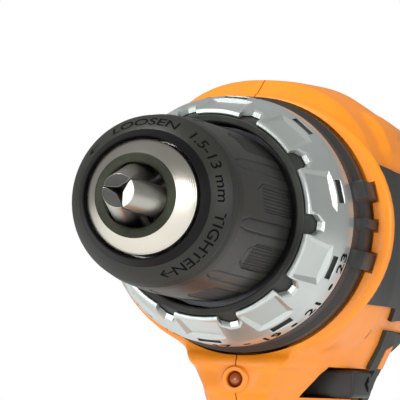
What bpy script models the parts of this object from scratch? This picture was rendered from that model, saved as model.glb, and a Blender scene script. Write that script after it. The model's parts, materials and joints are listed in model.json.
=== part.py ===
"""Cordless hammer drill: an assembly of separate pieces with real joints.

Frame: metres, +Z up. The origin is the centre of the battery's underside, and the drill
points along -Y. Lengths along the drill are given as the distance behind the jaw tips,
and heights as the distance above the chuck's axis.
"""

import math

import bmesh
import bpy
from mathutils import Matrix, Vector

OBJECT = "cordless_drill"

# Overall frame
AXIS_HEIGHT = 0.200
TIP_TO_FOOT = 0.142
GAP = 0.0003
ROUND_STEPS = 28
SMALL_STEPS = 12
SKIN_STEPS = 24

# Chuck
JAW_COUNT = 3
JAW_ANGLE = math.radians(16.0)
JAW_RADIUS = 0.0036
JAW_LENGTH = 0.034
JAW_BORE_LENGTH = 0.0588
JAW_TURN = math.radians(-14.0)
JAW_FLAT = 0.0007
CHUCK_FACE = 0.0114
CHUCK_BORE = 0.0073
NOSE_FACE_RADIUS = 0.0095
NOSE_RADIUS = 0.0132
NOSE_LENGTH = 0.0045
CHUCK_CORE_RADIUS = 0.0150
NUT_FRONT = 0.0270
NUT_LENGTH = 0.0070
NUT_RADIUS = 0.0175
CHUCK_REAR = 0.0620
CHUCK_HUB_RADIUS = 0.0110
SLEEVE_RADIUS = 0.0215
SLEEVE_RIM_RADIUS = 0.0195
SLEEVE_REAR = 0.0675
SLEEVE_WALL = 0.0017

# Clutch dial and front of the gearcase
DIAL_FRONT = 0.0657
DIAL_REAR = 0.0880
DIAL_FRONT_RADIUS = 0.0261
DIAL_REAR_RADIUS = 0.0321
DIAL_WALL = 0.0013
DIAL_BORE = 0.0230
NOSE_TUBE_RADIUS = 0.0195
NOSE_TUBE_FRONT = 0.0705
COLLAR_RADIUS = 0.0321
CLUTCH_NUT_FRONT = 0.0722
CLUTCH_NUT_LENGTH = 0.0040
CLUTCH_SPRING_WIRE = 0.0010
CLUTCH_SPRING_TURNS = 4

# Gearbox
GEAR_MODULE = 0.00115
SUN_TEETH = 9
PLANET_TEETH = 12
RING_TEETH = SUN_TEETH + 2 * PLANET_TEETH
PLANET_COUNT = 3
BACKLASH = 0.0005
ADDENDUM = 0.8 * GEAR_MODULE
DEDENDUM = 1.1 * GEAR_MODULE
GEAR_WIDTH = 0.0060
RING_WIDTH = 0.0080
RING_WALL = 0.0030
GEARCASE_WALL = 0.0025
GEARCASE_SHOULDER = 0.0917
FRONT_STAGE = 0.1095
REAR_STAGE = 0.1220
GEARCASE_REAR = 0.1320
CARRIER_THICKNESS = 0.0035
PLANET_PIN_RADIUS = 0.0018
SPINDLE_RADIUS = 0.0085
SPINDLE_NOSE_RADIUS = 0.0060
SPINDLE_TAIL_RADIUS = 0.0065
BEARING_RADIUS = 0.0140
BEARING_WIDTH = 0.0080

# Motor
MOTOR_FRONT = 0.1345
MOTOR_LENGTH = 0.0540
MOTOR_RADIUS = 0.0190
MOTOR_WALL = 0.0014
MOTOR_SHAFT_RADIUS = 0.0024
ROTOR_RADIUS = 0.0110
MAGNET_THICKNESS = 0.0040

# Housing
WALL = 0.0026
FLANGE_FRONT = 0.1022
FLANGE_RADIUS = 0.0391
FLANGE_THICKNESS = 0.0046
RIM_HALF_HEIGHT = 0.0350
MOUTH_RADIUS = COLLAR_RADIUS + 2 * GAP
BARREL_HALF_WIDTH = 0.0336
BARREL_TOP = 0.0418
BARREL_REAR = 0.2120
NECK_HALF_WIDTH = 0.0245
NECK_FRONT = 0.0985
NECK_BOTTOM = -0.0500
HANDLE_HALF_WIDTH = 0.0168
HANDLE_HALF_DEPTH = 0.0200
HANDLE_LEAN = 0.0100
FOOT_HALF_WIDTH = 0.0375
FOOT_HALF_LENGTH = 0.0550
FOOT_HEIGHT = 0.0160
TRIM_THICKNESS = 0.0012
LED_DROP = 0.0403
LED_RADIUS = 0.0018

# Controls
TRIGGER_FRONT = 0.1135
TRIGGER_TOP = -0.0515
TRIGGER_HEIGHT = 0.0270
TRIGGER_HALF_WIDTH = 0.0070
TRIGGER_TRAVEL = 0.0070
LEVER_HEIGHT = 0.0076
LEVER_LENGTH = 0.0220
LEVER_FRONT = 0.1310
LEVER_DROP = 0.0402
LEVER_HALF_SPAN = 0.0205
LEVER_OFFSET = 0.0035
SELECTOR_FRONT = 0.1430
SELECTOR_LENGTH = 0.0150
SELECTOR_TRAVEL = 0.0040
SELECTOR_HEIGHT = 0.0025

# Battery
BATTERY_HALF_WIDTH = 0.0375
BATTERY_HALF_LENGTH = 0.0575
BATTERY_HEIGHT = 0.0436
CASE_HEIGHT = 0.0280
BATTERY_WALL = 0.0024
BATTERY_POWER = 9.0
CELL_COUNT = 5
CELL_RADIUS = 0.0091
CELL_LENGTH = 0.0650
CELL_PITCH = 0.0196
TOWER_HALF_WIDTH = 0.0160
TOWER_HEIGHT = 0.0085
TOWER_LEAD = 0.0440
CHANNEL_LEAD = 0.0280
TOWER_LENGTH = 0.0660

# Worked out from the sizes above
PLANET_ORBIT = GEAR_MODULE * (SUN_TEETH + PLANET_TEETH) / 2
RING_RADIUS = GEAR_MODULE * RING_TEETH / 2 + DEDENDUM + RING_WALL
CHAMBER_RADIUS = RING_RADIUS + GAP
GEARCASE_RADIUS = CHAMBER_RADIUS + GEARCASE_WALL
NUT_REAR = NUT_FRONT + NUT_LENGTH
CARRIER_RADIUS = PLANET_ORBIT + 0.0055
HANDLE_TOP = 0.1490
HANDLE_FOOT = HANDLE_TOP + HANDLE_LEAN
FOOT_BOTTOM = -AXIS_HEIGHT + BATTERY_HEIGHT + GAP
FOOT_TOP = FOOT_BOTTOM + FOOT_HEIGHT
FOOT_CENTRE = TIP_TO_FOOT + 0.0020
TOWER_FRONT = TIP_TO_FOOT - TOWER_LEAD
BATTERY_FLOOR = -AXIS_HEIGHT


# ---------------------------------------------------------------- scene helpers

def clear_scene():
    for item in list(bpy.data.objects):
        bpy.data.objects.remove(item, do_unlink=True)


def new_collection(name):
    collection = bpy.data.collections.new(name)
    bpy.context.scene.collection.children.link(collection)
    return collection


def new_material(name, colour, roughness, metallic=0.0):
    material = bpy.data.materials.new(name)
    material.use_nodes = True
    shader = material.node_tree.nodes["Principled BSDF"]
    shader.inputs["Base Color"].default_value = (*colour, 1.0)
    shader.inputs["Roughness"].default_value = roughness
    shader.inputs["Metallic"].default_value = metallic
    material.diffuse_color = (*colour, 1.0)
    return material


def new_empty(name, location, parent=None, turn=0.0):
    empty = bpy.data.objects.new(name, None)
    empty.location = location
    empty.rotation_euler = (turn, 0.0, 0.0)
    empty.parent = parent
    PARTS.objects.link(empty)
    return empty


def place(item, parent, location=(0.0, 0.0, 0.0), rotation=(0.0, 0.0, 0.0)):
    item.parent = parent
    item.location = location
    item.rotation_euler = rotation
    return item


def from_bmesh(name, mesh_data, material, collection=None, smooth=True):
    mesh = bpy.data.meshes.new(name)
    mesh_data.to_mesh(mesh)
    mesh_data.free()
    if smooth:
        mesh.shade_smooth()
        mesh.set_sharp_from_angle(angle=math.radians(35.0))
    item = bpy.data.objects.new(name, mesh)
    if material:
        mesh.materials.append(material)
    (collection or PARTS).objects.link(item)
    return item


def hide(item):
    item.hide_render = True
    item.display_type = "WIRE"
    return item


def boolean(item, other, operation):
    modifier = item.modifiers.new(f"{operation.lower()}_{other.name}", "BOOLEAN")
    modifier.operation = operation
    modifier.object = other
    modifier.solver = "EXACT"
    return item


def bake(source, name, material):
    """A plain mesh object with the evaluated shape of another object."""
    bpy.context.view_layer.update()
    evaluated = source.evaluated_get(bpy.context.evaluated_depsgraph_get())
    mesh = bpy.data.meshes.new_from_object(evaluated)
    mesh.name = name
    mesh.materials.clear()
    mesh.materials.append(material)
    item = bpy.data.objects.new(name, mesh)
    PARTS.objects.link(item)
    return item


# ---------------------------------------------------------------- shape helpers

def turned(name, profile, material, steps=ROUND_STEPS, collection=None):
    """A ring or a solid turned about the drill's axis from (radius, distance) points.

    The points run down the outer side from the front to the rear, then back up the bore.
    """
    mesh = bpy.data.meshes.new(name)
    points = [(radius, 0.0, -distance) for radius, distance in profile]
    hollow = min(radius for radius, _ in profile) > 0.0
    edges = [(index, index + 1) for index in range(len(points) - 1)]
    if hollow:
        edges.append((len(points) - 1, 0))
    mesh.from_pydata(points, edges, [])
    if material:
        mesh.materials.append(material)
    item = bpy.data.objects.new(name, mesh)
    (collection or PARTS).objects.link(item)
    screw = item.modifiers.new("turn", "SCREW")
    screw.axis = "Z"
    screw.angle = math.tau
    screw.steps = steps
    screw.render_steps = steps
    screw.use_merge_vertices = True
    screw.merge_threshold = 0.00001
    screw.use_smooth_shade = True
    return place(item, AXIS)


def box_bmesh(low, high, bevel=0.0):
    low, high = Vector(low), Vector(high)
    data = bmesh.new()
    bmesh.ops.create_cube(data, size=1.0)
    bmesh.ops.scale(data, vec=high - low, verts=data.verts)
    bmesh.ops.translate(data, vec=(low + high) / 2, verts=data.verts)
    if bevel:
        bmesh.ops.bevel(data, geom=data.edges[:], offset=bevel, segments=2, profile=0.5,
                        affect="EDGES", material=-1)
    return data


def box(name, low, high, material, bevel=0.0, collection=None):
    """A box between two corners given as (across, behind the tips, above the axis)."""
    item = from_bmesh(name, box_bmesh(low, high, bevel), material, collection, smooth=False)
    return place(item, DATUM)


def cutter_box(name, low, high):
    return hide(box(name, low, high, None, collection=CUTTERS))


def cylinder_bmesh(radius, length, steps=SMALL_STEPS):
    """A cylinder along +Z from the origin."""
    data = bmesh.new()
    bmesh.ops.create_cone(data, cap_ends=True, segments=steps, radius1=radius, radius2=radius,
                          depth=length)
    bmesh.ops.translate(data, vec=(0.0, 0.0, length / 2), verts=data.verts)
    return data


def cross_rod(name, start, end, distance, height, radius, material, collection=None):
    """A rod across the drill, between two places on X."""
    data = cylinder_bmesh(radius, end - start)
    bmesh.ops.rotate(data, matrix=Matrix.Rotation(math.pi / 2, 3, "Y"), verts=data.verts)
    bmesh.ops.translate(data, vec=(start, distance, height), verts=data.verts)
    return place(from_bmesh(name, data, material, collection), DATUM)


def prism_bmesh(outline, low, high):
    """A solid with an outline of (distance, height) points, between two places on X."""
    data = bmesh.new()
    corners = [data.verts.new((low, distance, height)) for distance, height in outline]
    face = data.faces.new(corners)
    grown = bmesh.ops.extrude_face_region(data, geom=[face])["geom"]
    moved = [part for part in grown if isinstance(part, bmesh.types.BMVert)]
    bmesh.ops.translate(data, vec=(high - low, 0.0, 0.0), verts=moved)
    bmesh.ops.recalc_face_normals(data, faces=data.faces[:])
    return data


def slice_off(data, point, normal):
    """Removes what lies beyond a plane and closes the cut."""
    geometry = data.verts[:] + data.edges[:] + data.faces[:]
    bmesh.ops.bisect_plane(data, geom=geometry, plane_co=point, plane_no=normal,
                           clear_outer=True, dist=0.0000001)
    rim = [edge for edge in data.edges if edge.is_boundary]
    bmesh.ops.holes_fill(data, edges=rim)


def superellipse(half_u, half_v, power, steps=SKIN_STEPS):
    """Points of a rounded rectangle: power 2 is an ellipse, and more is squarer."""
    points = []
    for index in range(steps):
        angle = math.tau * index / steps
        u, v = math.cos(angle), math.sin(angle)
        points.append((half_u * math.copysign(abs(u) ** (2 / power), u),
                       half_v * math.copysign(abs(v) ** (2 / power), v)))
    return points


def loft_bmesh(rings):
    """A closed skin through rings of the same number of points."""
    data = bmesh.new()
    rows = [[data.verts.new(point) for point in ring] for ring in rings]
    for row, after in zip(rows, rows[1:]):
        for index in range(len(row)):
            following = (index + 1) % len(row)
            data.faces.new((row[index], row[following], after[following], after[index]))
    data.faces.new(rows[0])
    data.faces.new(rows[-1])
    bmesh.ops.recalc_face_normals(data, faces=data.faces[:])
    return data


# ---------------------------------------------------------------- chuck

def jaw_frame(index):
    """Where a jaw's sloping axis meets the chuck's axis, with +Z running back along it."""
    turn = JAW_TURN + math.tau * index / JAW_COUNT
    spread = Matrix.Rotation(turn, 4, "Z")
    return spread @ Matrix.Rotation(math.pi - JAW_ANGLE, 4, "Y")


def make_jaw(index):
    data = cylinder_bmesh(JAW_RADIUS, JAW_LENGTH / math.cos(JAW_ANGLE) + 0.006, 16)
    bmesh.ops.translate(data, vec=(0.0, 0.0, -0.005), verts=data.verts)
    bmesh.ops.transform(data, matrix=jaw_frame(index), verts=data.verts)
    bmesh.ops.recalc_face_normals(data, faces=data.faces[:])
    turn = JAW_TURN + math.tau * index / JAW_COUNT
    outward = Vector((math.cos(turn), math.sin(turn), 0.0))
    half = math.pi / JAW_COUNT
    slice_off(data, (0.0, 0.0, 0.0), (0.0, 0.0, 1.0))
    slice_off(data, outward * JAW_FLAT, -outward)
    for side in (-1.0, 1.0):
        facing = turn + side * (half + math.pi / 2)
        normal = Vector((math.cos(facing), math.sin(facing), 0.0))
        slice_off(data, -normal * GAP / 2, normal)
    place(from_bmesh(f"jaw_{index + 1}", data, STEEL), AXIS)


def make_chuck():
    for index in range(JAW_COUNT):
        make_jaw(index)
    nose_end = CHUCK_FACE + NOSE_LENGTH
    neck_front = NUT_FRONT - 0.0005
    neck_rear = NUT_REAR + 0.0005
    hub_front = CHUCK_REAR - 0.006
    body = turned("chuck_body", [
        (NOSE_FACE_RADIUS, CHUCK_FACE),
        (NOSE_RADIUS, nose_end),
        (NOSE_RADIUS, neck_front - 0.0025),
        (CHUCK_CORE_RADIUS, neck_front - 0.0025),
        (CHUCK_CORE_RADIUS, neck_front),
        (CHUCK_CORE_RADIUS - 0.0045, neck_front),
        (CHUCK_CORE_RADIUS - 0.0045, neck_rear),
        (CHUCK_CORE_RADIUS, neck_rear),
        (CHUCK_CORE_RADIUS, hub_front),
        (CHUCK_HUB_RADIUS, hub_front),
        (CHUCK_HUB_RADIUS, CHUCK_REAR),
        (SPINDLE_NOSE_RADIUS + GAP, CHUCK_REAR),
        (SPINDLE_NOSE_RADIUS + GAP, CHUCK_REAR - 0.014),
        (0.0028, CHUCK_REAR - 0.014),
        (0.0028, CHUCK_REAR - 0.017),
        (CHUCK_BORE, CHUCK_REAR - 0.017),
        (CHUCK_BORE, CHUCK_FACE),
    ], STEEL)
    for index in range(JAW_COUNT):
        data = cylinder_bmesh(JAW_RADIUS + 1.5 * GAP, JAW_BORE_LENGTH)
        bmesh.ops.transform(data, matrix=jaw_frame(index), verts=data.verts)
        bmesh.ops.recalc_face_normals(data, faces=data.faces[:])
        bore = from_bmesh(f"jaw_bore_{index + 1}", data, None, CUTTERS)
        boolean(body, place(hide(bore), AXIS), "DIFFERENCE")

    jaw_back = math.tan(JAW_ANGLE)
    jaw_reach = JAW_RADIUS / math.cos(JAW_ANGLE) + 2 * GAP
    turned("chuck_nut", [
        (NUT_RADIUS, NUT_FRONT),
        (NUT_RADIUS, NUT_REAR),
        (NUT_REAR * jaw_back + jaw_reach, NUT_REAR),
        (NUT_FRONT * jaw_back + jaw_reach, NUT_FRONT),
    ], BRASS)
    turned("chuck_sleeve", [
        (NOSE_RADIUS + 0.0005, nose_end + 0.0003),
        (0.0156, nose_end + 0.0022),
        (SLEEVE_RIM_RADIUS, 0.0232),
        (SLEEVE_RIM_RADIUS, 0.0242),
        (SLEEVE_RIM_RADIUS - 0.0006, 0.0248),
        (SLEEVE_RIM_RADIUS + 0.0004, 0.0258),
        (SLEEVE_RADIUS - 0.0004, 0.0400),
        (SLEEVE_RADIUS, 0.0560),
        (SLEEVE_RADIUS, SLEEVE_REAR - 0.0006),
        (SLEEVE_RADIUS - 0.0006, SLEEVE_REAR),
        (SLEEVE_RADIUS - SLEEVE_WALL, SLEEVE_REAR),
        (SLEEVE_RADIUS - SLEEVE_WALL, NUT_REAR + 0.0010),
        (NUT_RADIUS + GAP, NUT_REAR + 0.0010),
        (NUT_RADIUS + GAP, NUT_FRONT - GAP),
        (CHUCK_CORE_RADIUS + GAP, NUT_FRONT - GAP),
        (CHUCK_CORE_RADIUS + GAP, neck_front - 0.0028),
        (NOSE_RADIUS + GAP, neck_front - 0.0028),
    ], BLACK_PLASTIC)
    screw_seat = CHUCK_REAR - 0.017
    turned("chuck_screw", [
        (0.0, screw_seat - 0.0035),
        (0.0045, screw_seat - 0.0035),
        (0.0045, screw_seat - GAP),
        (0.0024, screw_seat - GAP),
        (0.0024, screw_seat + 0.012),
        (0.0, screw_seat + 0.012),
    ], DARK_STEEL, SMALL_STEPS)


# ---------------------------------------------------------------- clutch

def make_clutch():
    turned("clutch_dial_shell", [
        (DIAL_FRONT_RADIUS, DIAL_FRONT),
        (DIAL_FRONT_RADIUS + 0.0010, DIAL_FRONT + 0.0015),
        (DIAL_REAR_RADIUS - 0.0003, DIAL_REAR - 0.0060),
        (DIAL_REAR_RADIUS, DIAL_REAR),
        (DIAL_REAR_RADIUS - DIAL_WALL, DIAL_REAR),
        (DIAL_REAR_RADIUS - DIAL_WALL - 0.0003, DIAL_REAR - 0.0060),
        (DIAL_FRONT_RADIUS - DIAL_WALL + 0.0007, DIAL_FRONT + 0.0015),
        (DIAL_FRONT_RADIUS - DIAL_WALL, DIAL_FRONT),
    ], SILVER_PLASTIC)
    inner_front = DIAL_FRONT_RADIUS - DIAL_WALL - GAP
    inner_rear = DIAL_REAR_RADIUS - DIAL_WALL - GAP
    turned("clutch_dial_core", [
        (inner_front, DIAL_FRONT),
        (inner_front + 0.0007, DIAL_FRONT + 0.0015),
        (inner_rear - 0.0004, DIAL_REAR - 0.0060),
        (inner_rear, DIAL_REAR),
        (DIAL_BORE + 0.0045, DIAL_REAR),
        (DIAL_BORE, DIAL_REAR - 0.0045),
        (DIAL_BORE, DIAL_FRONT),
    ], GREY_PLASTIC)
    nut_rear = CLUTCH_NUT_FRONT + CLUTCH_NUT_LENGTH
    turned("clutch_nut", [
        (DIAL_BORE - GAP, CLUTCH_NUT_FRONT),
        (DIAL_BORE - GAP, nut_rear),
        (NOSE_TUBE_RADIUS + GAP, nut_rear),
        (NOSE_TUBE_RADIUS + GAP, CLUTCH_NUT_FRONT),
    ], BRASS)
    washer_front = GEARCASE_SHOULDER - GAP - 0.0012
    turned("clutch_washer", [
        (DIAL_BORE - GAP, washer_front),
        (DIAL_BORE - GAP, GEARCASE_SHOULDER - GAP),
        (NOSE_TUBE_RADIUS + GAP, GEARCASE_SHOULDER - GAP),
        (NOSE_TUBE_RADIUS + GAP, washer_front),
    ], DARK_STEEL)
    coil("clutch_spring", AXIS, (NOSE_TUBE_RADIUS + DIAL_BORE) / 2, CLUTCH_SPRING_WIRE / 2,
         nut_rear + GAP, washer_front - GAP, CLUTCH_SPRING_TURNS, 12)


def coil(name, parent, radius, wire, front, rear, turns, points_per_turn):
    """A round spring about a parent's Z axis, between two distances behind the tips."""
    curve = bpy.data.curves.new(name, "CURVE")
    curve.dimensions = "3D"
    curve.bevel_depth = wire
    curve.bevel_resolution = 0
    curve.use_fill_caps = True
    count = turns * points_per_turn + 1
    spline = curve.splines.new("POLY")
    spline.points.add(count - 1)
    for index in range(count):
        angle = math.tau * index / points_per_turn
        along = front + wire + (rear - front - 2 * wire) * index / (count - 1)
        spline.points[index].co = (radius * math.cos(angle), radius * math.sin(angle), -along, 1.0)
    curve.materials.append(DARK_STEEL)
    item = bpy.data.objects.new(name, curve)
    PARTS.objects.link(item)
    weld = item.modifiers.new("close_caps", "WELD")
    weld.merge_threshold = 0.00001
    return place(item, parent)


# ---------------------------------------------------------------- gearbox

def tooth_corners(teeth, internal, phase, tooth):
    """The four corners of one straight-flanked tooth, as (radius, angle)."""
    pitch_radius = GEAR_MODULE * teeth / 2
    outward = -1.0 if internal else 1.0
    tip = pitch_radius + outward * ADDENDUM
    root = pitch_radius - outward * DEDENDUM
    thickness = math.pi * GEAR_MODULE / 2 - BACKLASH
    slope = math.tan(math.radians(20.0))
    centre = phase + math.tau * tooth / teeth
    corners = []
    for radius, side in ((root, -1.0), (tip, -1.0), (tip, 1.0), (root, 1.0)):
        depth = outward * (pitch_radius - radius)
        half = (thickness / 2 + depth * slope) / radius
        corners.append((radius, centre + side * half))
    return corners


def gear_bmesh(teeth, phase, width, plain=0.0, internal=False):
    """A gear along +Z from the origin, with a plain bore, or a plain rim round inner teeth."""
    data = bmesh.new()
    rows = []
    for height in (0.0, width):
        toothed, smooth = [], []
        for tooth in range(teeth):
            corners = tooth_corners(teeth, internal, phase, tooth)
            toothed.append([data.verts.new((r * math.cos(a), r * math.sin(a), height))
                            for r, a in corners])
            if plain:
                angle = corners[0][1]
                smooth.append(data.verts.new((plain * math.cos(angle), plain * math.sin(angle),
                                              height)))
        rows.append((toothed, smooth))
    (low, low_plain), (high, high_plain) = rows
    for tooth in range(teeth):
        after = (tooth + 1) % teeth
        bottom = low[tooth] + [low[after][0]]
        top = high[tooth] + [high[after][0]]
        for corner in range(len(bottom) - 1):
            data.faces.new((bottom[corner], bottom[corner + 1], top[corner + 1], top[corner]))
        if plain:
            data.faces.new(bottom + [low_plain[after], low_plain[tooth]])
            data.faces.new(top + [high_plain[after], high_plain[tooth]])
            data.faces.new((low_plain[tooth], low_plain[after], high_plain[after],
                            high_plain[tooth]))
    if not plain:
        data.faces.new([corner for corners in low for corner in corners])
        data.faces.new([corner for corners in high for corner in corners])
    bmesh.ops.recalc_face_normals(data, faces=data.faces[:])
    return data


def planet_angle(index):
    return math.pi / 2 + math.tau * index / PLANET_COUNT


def planet_phase(angle):
    """The turn that puts a planet's space on the sun's tooth, or tooth on its space."""
    sun_share = (angle * SUN_TEETH / math.tau) % 1.0
    return angle + math.pi + (sun_share + 0.5) * math.tau / PLANET_TEETH


def ring_phase():
    """The turn that puts the ring's spaces on the planets' teeth."""
    angle = planet_angle(0)
    planet_share = (angle - planet_phase(angle)) * PLANET_TEETH / math.tau
    return angle - (planet_share - 0.5) * math.tau / RING_TEETH


def make_carrier(name, rear, sun_rear=None):
    """A planet carrier whose pins run back into the planets behind it."""
    front = rear - CARRIER_THICKNESS
    bore = 0.0 if sun_rear is not None else SPINDLE_TAIL_RADIUS + GAP
    profile = [(CARRIER_RADIUS, front), (CARRIER_RADIUS, rear)]
    if bore:
        profile += [(bore, rear), (bore, front)]
    else:
        profile = [(0.0, front)] + profile + [(0.0, rear)]
    carrier = turned(name, profile, STEEL, 24)
    for index in range(PLANET_COUNT):
        data = cylinder_bmesh(PLANET_PIN_RADIUS, GEAR_WIDTH + 0.003, 8)
        pin = hide(from_bmesh(f"{name}_pin_{index + 1}", data, None, CUTTERS))
        angle = planet_angle(index)
        across = (PLANET_ORBIT * math.cos(angle), PLANET_ORBIT * math.sin(angle))
        place(pin, AXIS, (*across, -(rear + GEAR_WIDTH + 0.002)))
        boolean(carrier, pin, "UNION")
    if sun_rear is not None:
        data = gear_bmesh(SUN_TEETH, 0.0, GEAR_WIDTH + 0.0015)
        sun = hide(from_bmesh(f"{name}_sun", data, None, CUTTERS, smooth=False))
        place(sun, AXIS, (0.0, 0.0, -(front + 0.0010)))
        boolean(carrier, sun, "UNION")
    return carrier


def make_stage(label, front):
    ring_front = front - (RING_WIDTH - GEAR_WIDTH) / 2
    data = gear_bmesh(RING_TEETH, ring_phase(), RING_WIDTH, RING_RADIUS, internal=True)
    ring = from_bmesh(f"ring_gear_{label}", data, STEEL, smooth=False)
    place(ring, AXIS, (0.0, 0.0, -(ring_front + RING_WIDTH)))
    for index in range(PLANET_COUNT):
        angle = planet_angle(index)
        data = gear_bmesh(PLANET_TEETH, planet_phase(angle), GEAR_WIDTH,
                          PLANET_PIN_RADIUS + 2 * GAP)
        planet = from_bmesh(f"planet_{label}_{index + 1}", data, STEEL, smooth=False)
        across = (PLANET_ORBIT * math.cos(angle), PLANET_ORBIT * math.sin(angle))
        place(planet, AXIS, (*across, -(front + GEAR_WIDTH)))


def make_gearbox():
    chamber_front = GEARCASE_SHOULDER + 0.0033
    seat_rear = NOSE_TUBE_FRONT + BEARING_WIDTH + 2 * GAP
    case = turned("gearcase", [
        (NOSE_TUBE_RADIUS, NOSE_TUBE_FRONT),
        (NOSE_TUBE_RADIUS, GEARCASE_SHOULDER),
        (GEARCASE_RADIUS, GEARCASE_SHOULDER),
        (GEARCASE_RADIUS, GEARCASE_REAR),
        (CHAMBER_RADIUS, GEARCASE_REAR),
        (CHAMBER_RADIUS, chamber_front),
        (BEARING_RADIUS - 0.0023, chamber_front),
        (BEARING_RADIUS - 0.0023, seat_rear),
        (BEARING_RADIUS + GAP, seat_rear),
        (BEARING_RADIUS + GAP, NOSE_TUBE_FRONT),
    ], ALUMINIUM)
    slot = cutter_box("fork_slot", (-0.0033, FRONT_STAGE - 0.0020, CHAMBER_RADIUS - 0.004),
                      (0.0033, FRONT_STAGE + 0.0105, GEARCASE_RADIUS + 0.004))
    boolean(case, slot, "DIFFERENCE")
    turned("gearcase_collar", [
        (COLLAR_RADIUS, DIAL_REAR + GAP),
        (COLLAR_RADIUS, FLANGE_FRONT + 0.0040),
        (GEARCASE_RADIUS + GAP, FLANGE_FRONT + 0.0040),
        (GEARCASE_RADIUS + GAP, DIAL_REAR + GAP),
    ], BLACK_PLASTIC)
    turned("spindle_bearing", [
        (BEARING_RADIUS, NOSE_TUBE_FRONT + GAP),
        (BEARING_RADIUS, NOSE_TUBE_FRONT + GAP + BEARING_WIDTH),
        (SPINDLE_RADIUS + GAP, NOSE_TUBE_FRONT + GAP + BEARING_WIDTH),
        (SPINDLE_RADIUS + GAP, NOSE_TUBE_FRONT + GAP),
    ], STEEL)
    front_carrier_rear = FRONT_STAGE - 0.0015
    tail_front = front_carrier_rear - CARRIER_THICKNESS - 0.004
    screw_bore = 0.0024 + GAP
    nose = CHUCK_REAR - 0.0140 + GAP
    turned("spindle", [
        (SPINDLE_NOSE_RADIUS, nose),
        (SPINDLE_NOSE_RADIUS, CHUCK_REAR + GAP),
        (SPINDLE_RADIUS, CHUCK_REAR + GAP),
        (SPINDLE_RADIUS, tail_front),
        (SPINDLE_TAIL_RADIUS, tail_front),
        (SPINDLE_TAIL_RADIUS, front_carrier_rear),
        (screw_bore, front_carrier_rear),
        (screw_bore, nose),
    ], STEEL, 24)
    make_stage("front", FRONT_STAGE)
    make_stage("rear", REAR_STAGE)
    make_carrier("carrier_front", front_carrier_rear)
    make_carrier("carrier_rear", REAR_STAGE - 0.0015, sun_rear=FRONT_STAGE + GEAR_WIDTH)


# ---------------------------------------------------------------- motor

def make_motor():
    rear = MOTOR_FRONT + MOTOR_LENGTH
    bore = MOTOR_SHAFT_RADIUS + GAP
    turned("motor_can", [
        (MOTOR_RADIUS, MOTOR_FRONT),
        (MOTOR_RADIUS, rear),
        (MOTOR_RADIUS - MOTOR_WALL, rear),
        (MOTOR_RADIUS - MOTOR_WALL, MOTOR_FRONT + 0.0020),
        (0.0060, MOTOR_FRONT + 0.0020),
        (0.0060, MOTOR_FRONT),
    ], STEEL)
    turned("motor_end_cap", [
        (MOTOR_RADIUS, rear + GAP),
        (MOTOR_RADIUS, rear + 0.0040),
        (0.0080, rear + 0.0040),
        (0.0080, rear + 0.0070),
        (bore, rear + 0.0070),
        (bore, rear + GAP),
    ], BLACK_PLASTIC, 24)
    magnet_outer = MOTOR_RADIUS - MOTOR_WALL - GAP
    turned("motor_magnet", [
        (magnet_outer, MOTOR_FRONT + 0.0110),
        (magnet_outer, rear - 0.0110),
        (magnet_outer - MAGNET_THICKNESS, rear - 0.0110),
        (magnet_outer - MAGNET_THICKNESS, MOTOR_FRONT + 0.0110),
    ], DARK_STEEL, 24)
    turned("rotor_core", [
        (ROTOR_RADIUS, MOTOR_FRONT + 0.0110),
        (ROTOR_RADIUS, rear - 0.0130),
        (bore, rear - 0.0130),
        (bore, MOTOR_FRONT + 0.0110),
    ], DARK_STEEL, 24)
    turned("commutator", [
        (0.0060, rear - 0.0120),
        (0.0060, rear - 0.0030),
        (bore, rear - 0.0030),
        (bore, rear - 0.0120),
    ], COPPER, SMALL_STEPS)
    turned("motor_shaft", [
        (0.0, REAR_STAGE - GAP),
        (MOTOR_SHAFT_RADIUS, REAR_STAGE - GAP),
        (MOTOR_SHAFT_RADIUS, rear + 0.0060),
        (0.0, rear + 0.0060),
    ], STEEL, 16)
    data = gear_bmesh(SUN_TEETH, 0.0, GEAR_WIDTH, MOTOR_SHAFT_RADIUS + 2 * GAP)
    pinion = from_bmesh("motor_pinion", data, STEEL, smooth=False)
    place(pinion, AXIS, (0.0, 0.0, -(REAR_STAGE + GEAR_WIDTH)))
    make_fan()


def make_fan():
    """A hub with flat blades, just behind the front of the motor can."""
    blades = 9
    hub, tip, half_blade = 0.0070, 0.0160, 0.0006
    outline = []
    for blade in range(blades):
        centre = math.tau * blade / blades
        for radius in (hub, tip):
            outline.append((radius, centre - half_blade / radius))
        for radius in (tip, hub):
            outline.append((radius, centre + half_blade / radius))
    data = bmesh.new()
    bore = MOTOR_SHAFT_RADIUS + GAP
    rows = []
    for height in (0.0, 0.0050):
        rim = [data.verts.new((r * math.cos(a), r * math.sin(a), height)) for r, a in outline]
        eye = [data.verts.new((bore * math.cos(a), bore * math.sin(a), height)) for _, a in outline]
        rows.append((rim, eye))
    for index in range(len(outline)):
        after = (index + 1) % len(outline)
        (rim, eye), (high_rim, high_eye) = rows
        data.faces.new((rim[index], rim[after], high_rim[after], high_rim[index]))
        data.faces.new((eye[index], eye[after], high_eye[after], high_eye[index]))
        data.faces.new((rim[index], rim[after], eye[after], eye[index]))
        data.faces.new((high_rim[index], high_rim[after], high_eye[after], high_eye[index]))
    bmesh.ops.recalc_face_normals(data, faces=data.faces[:])
    fan = from_bmesh("motor_fan", data, BLACK_PLASTIC, smooth=False)
    place(fan, AXIS, (0.0, 0.0, -(MOTOR_FRONT + 0.0080)))


# ---------------------------------------------------------------- housing

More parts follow.
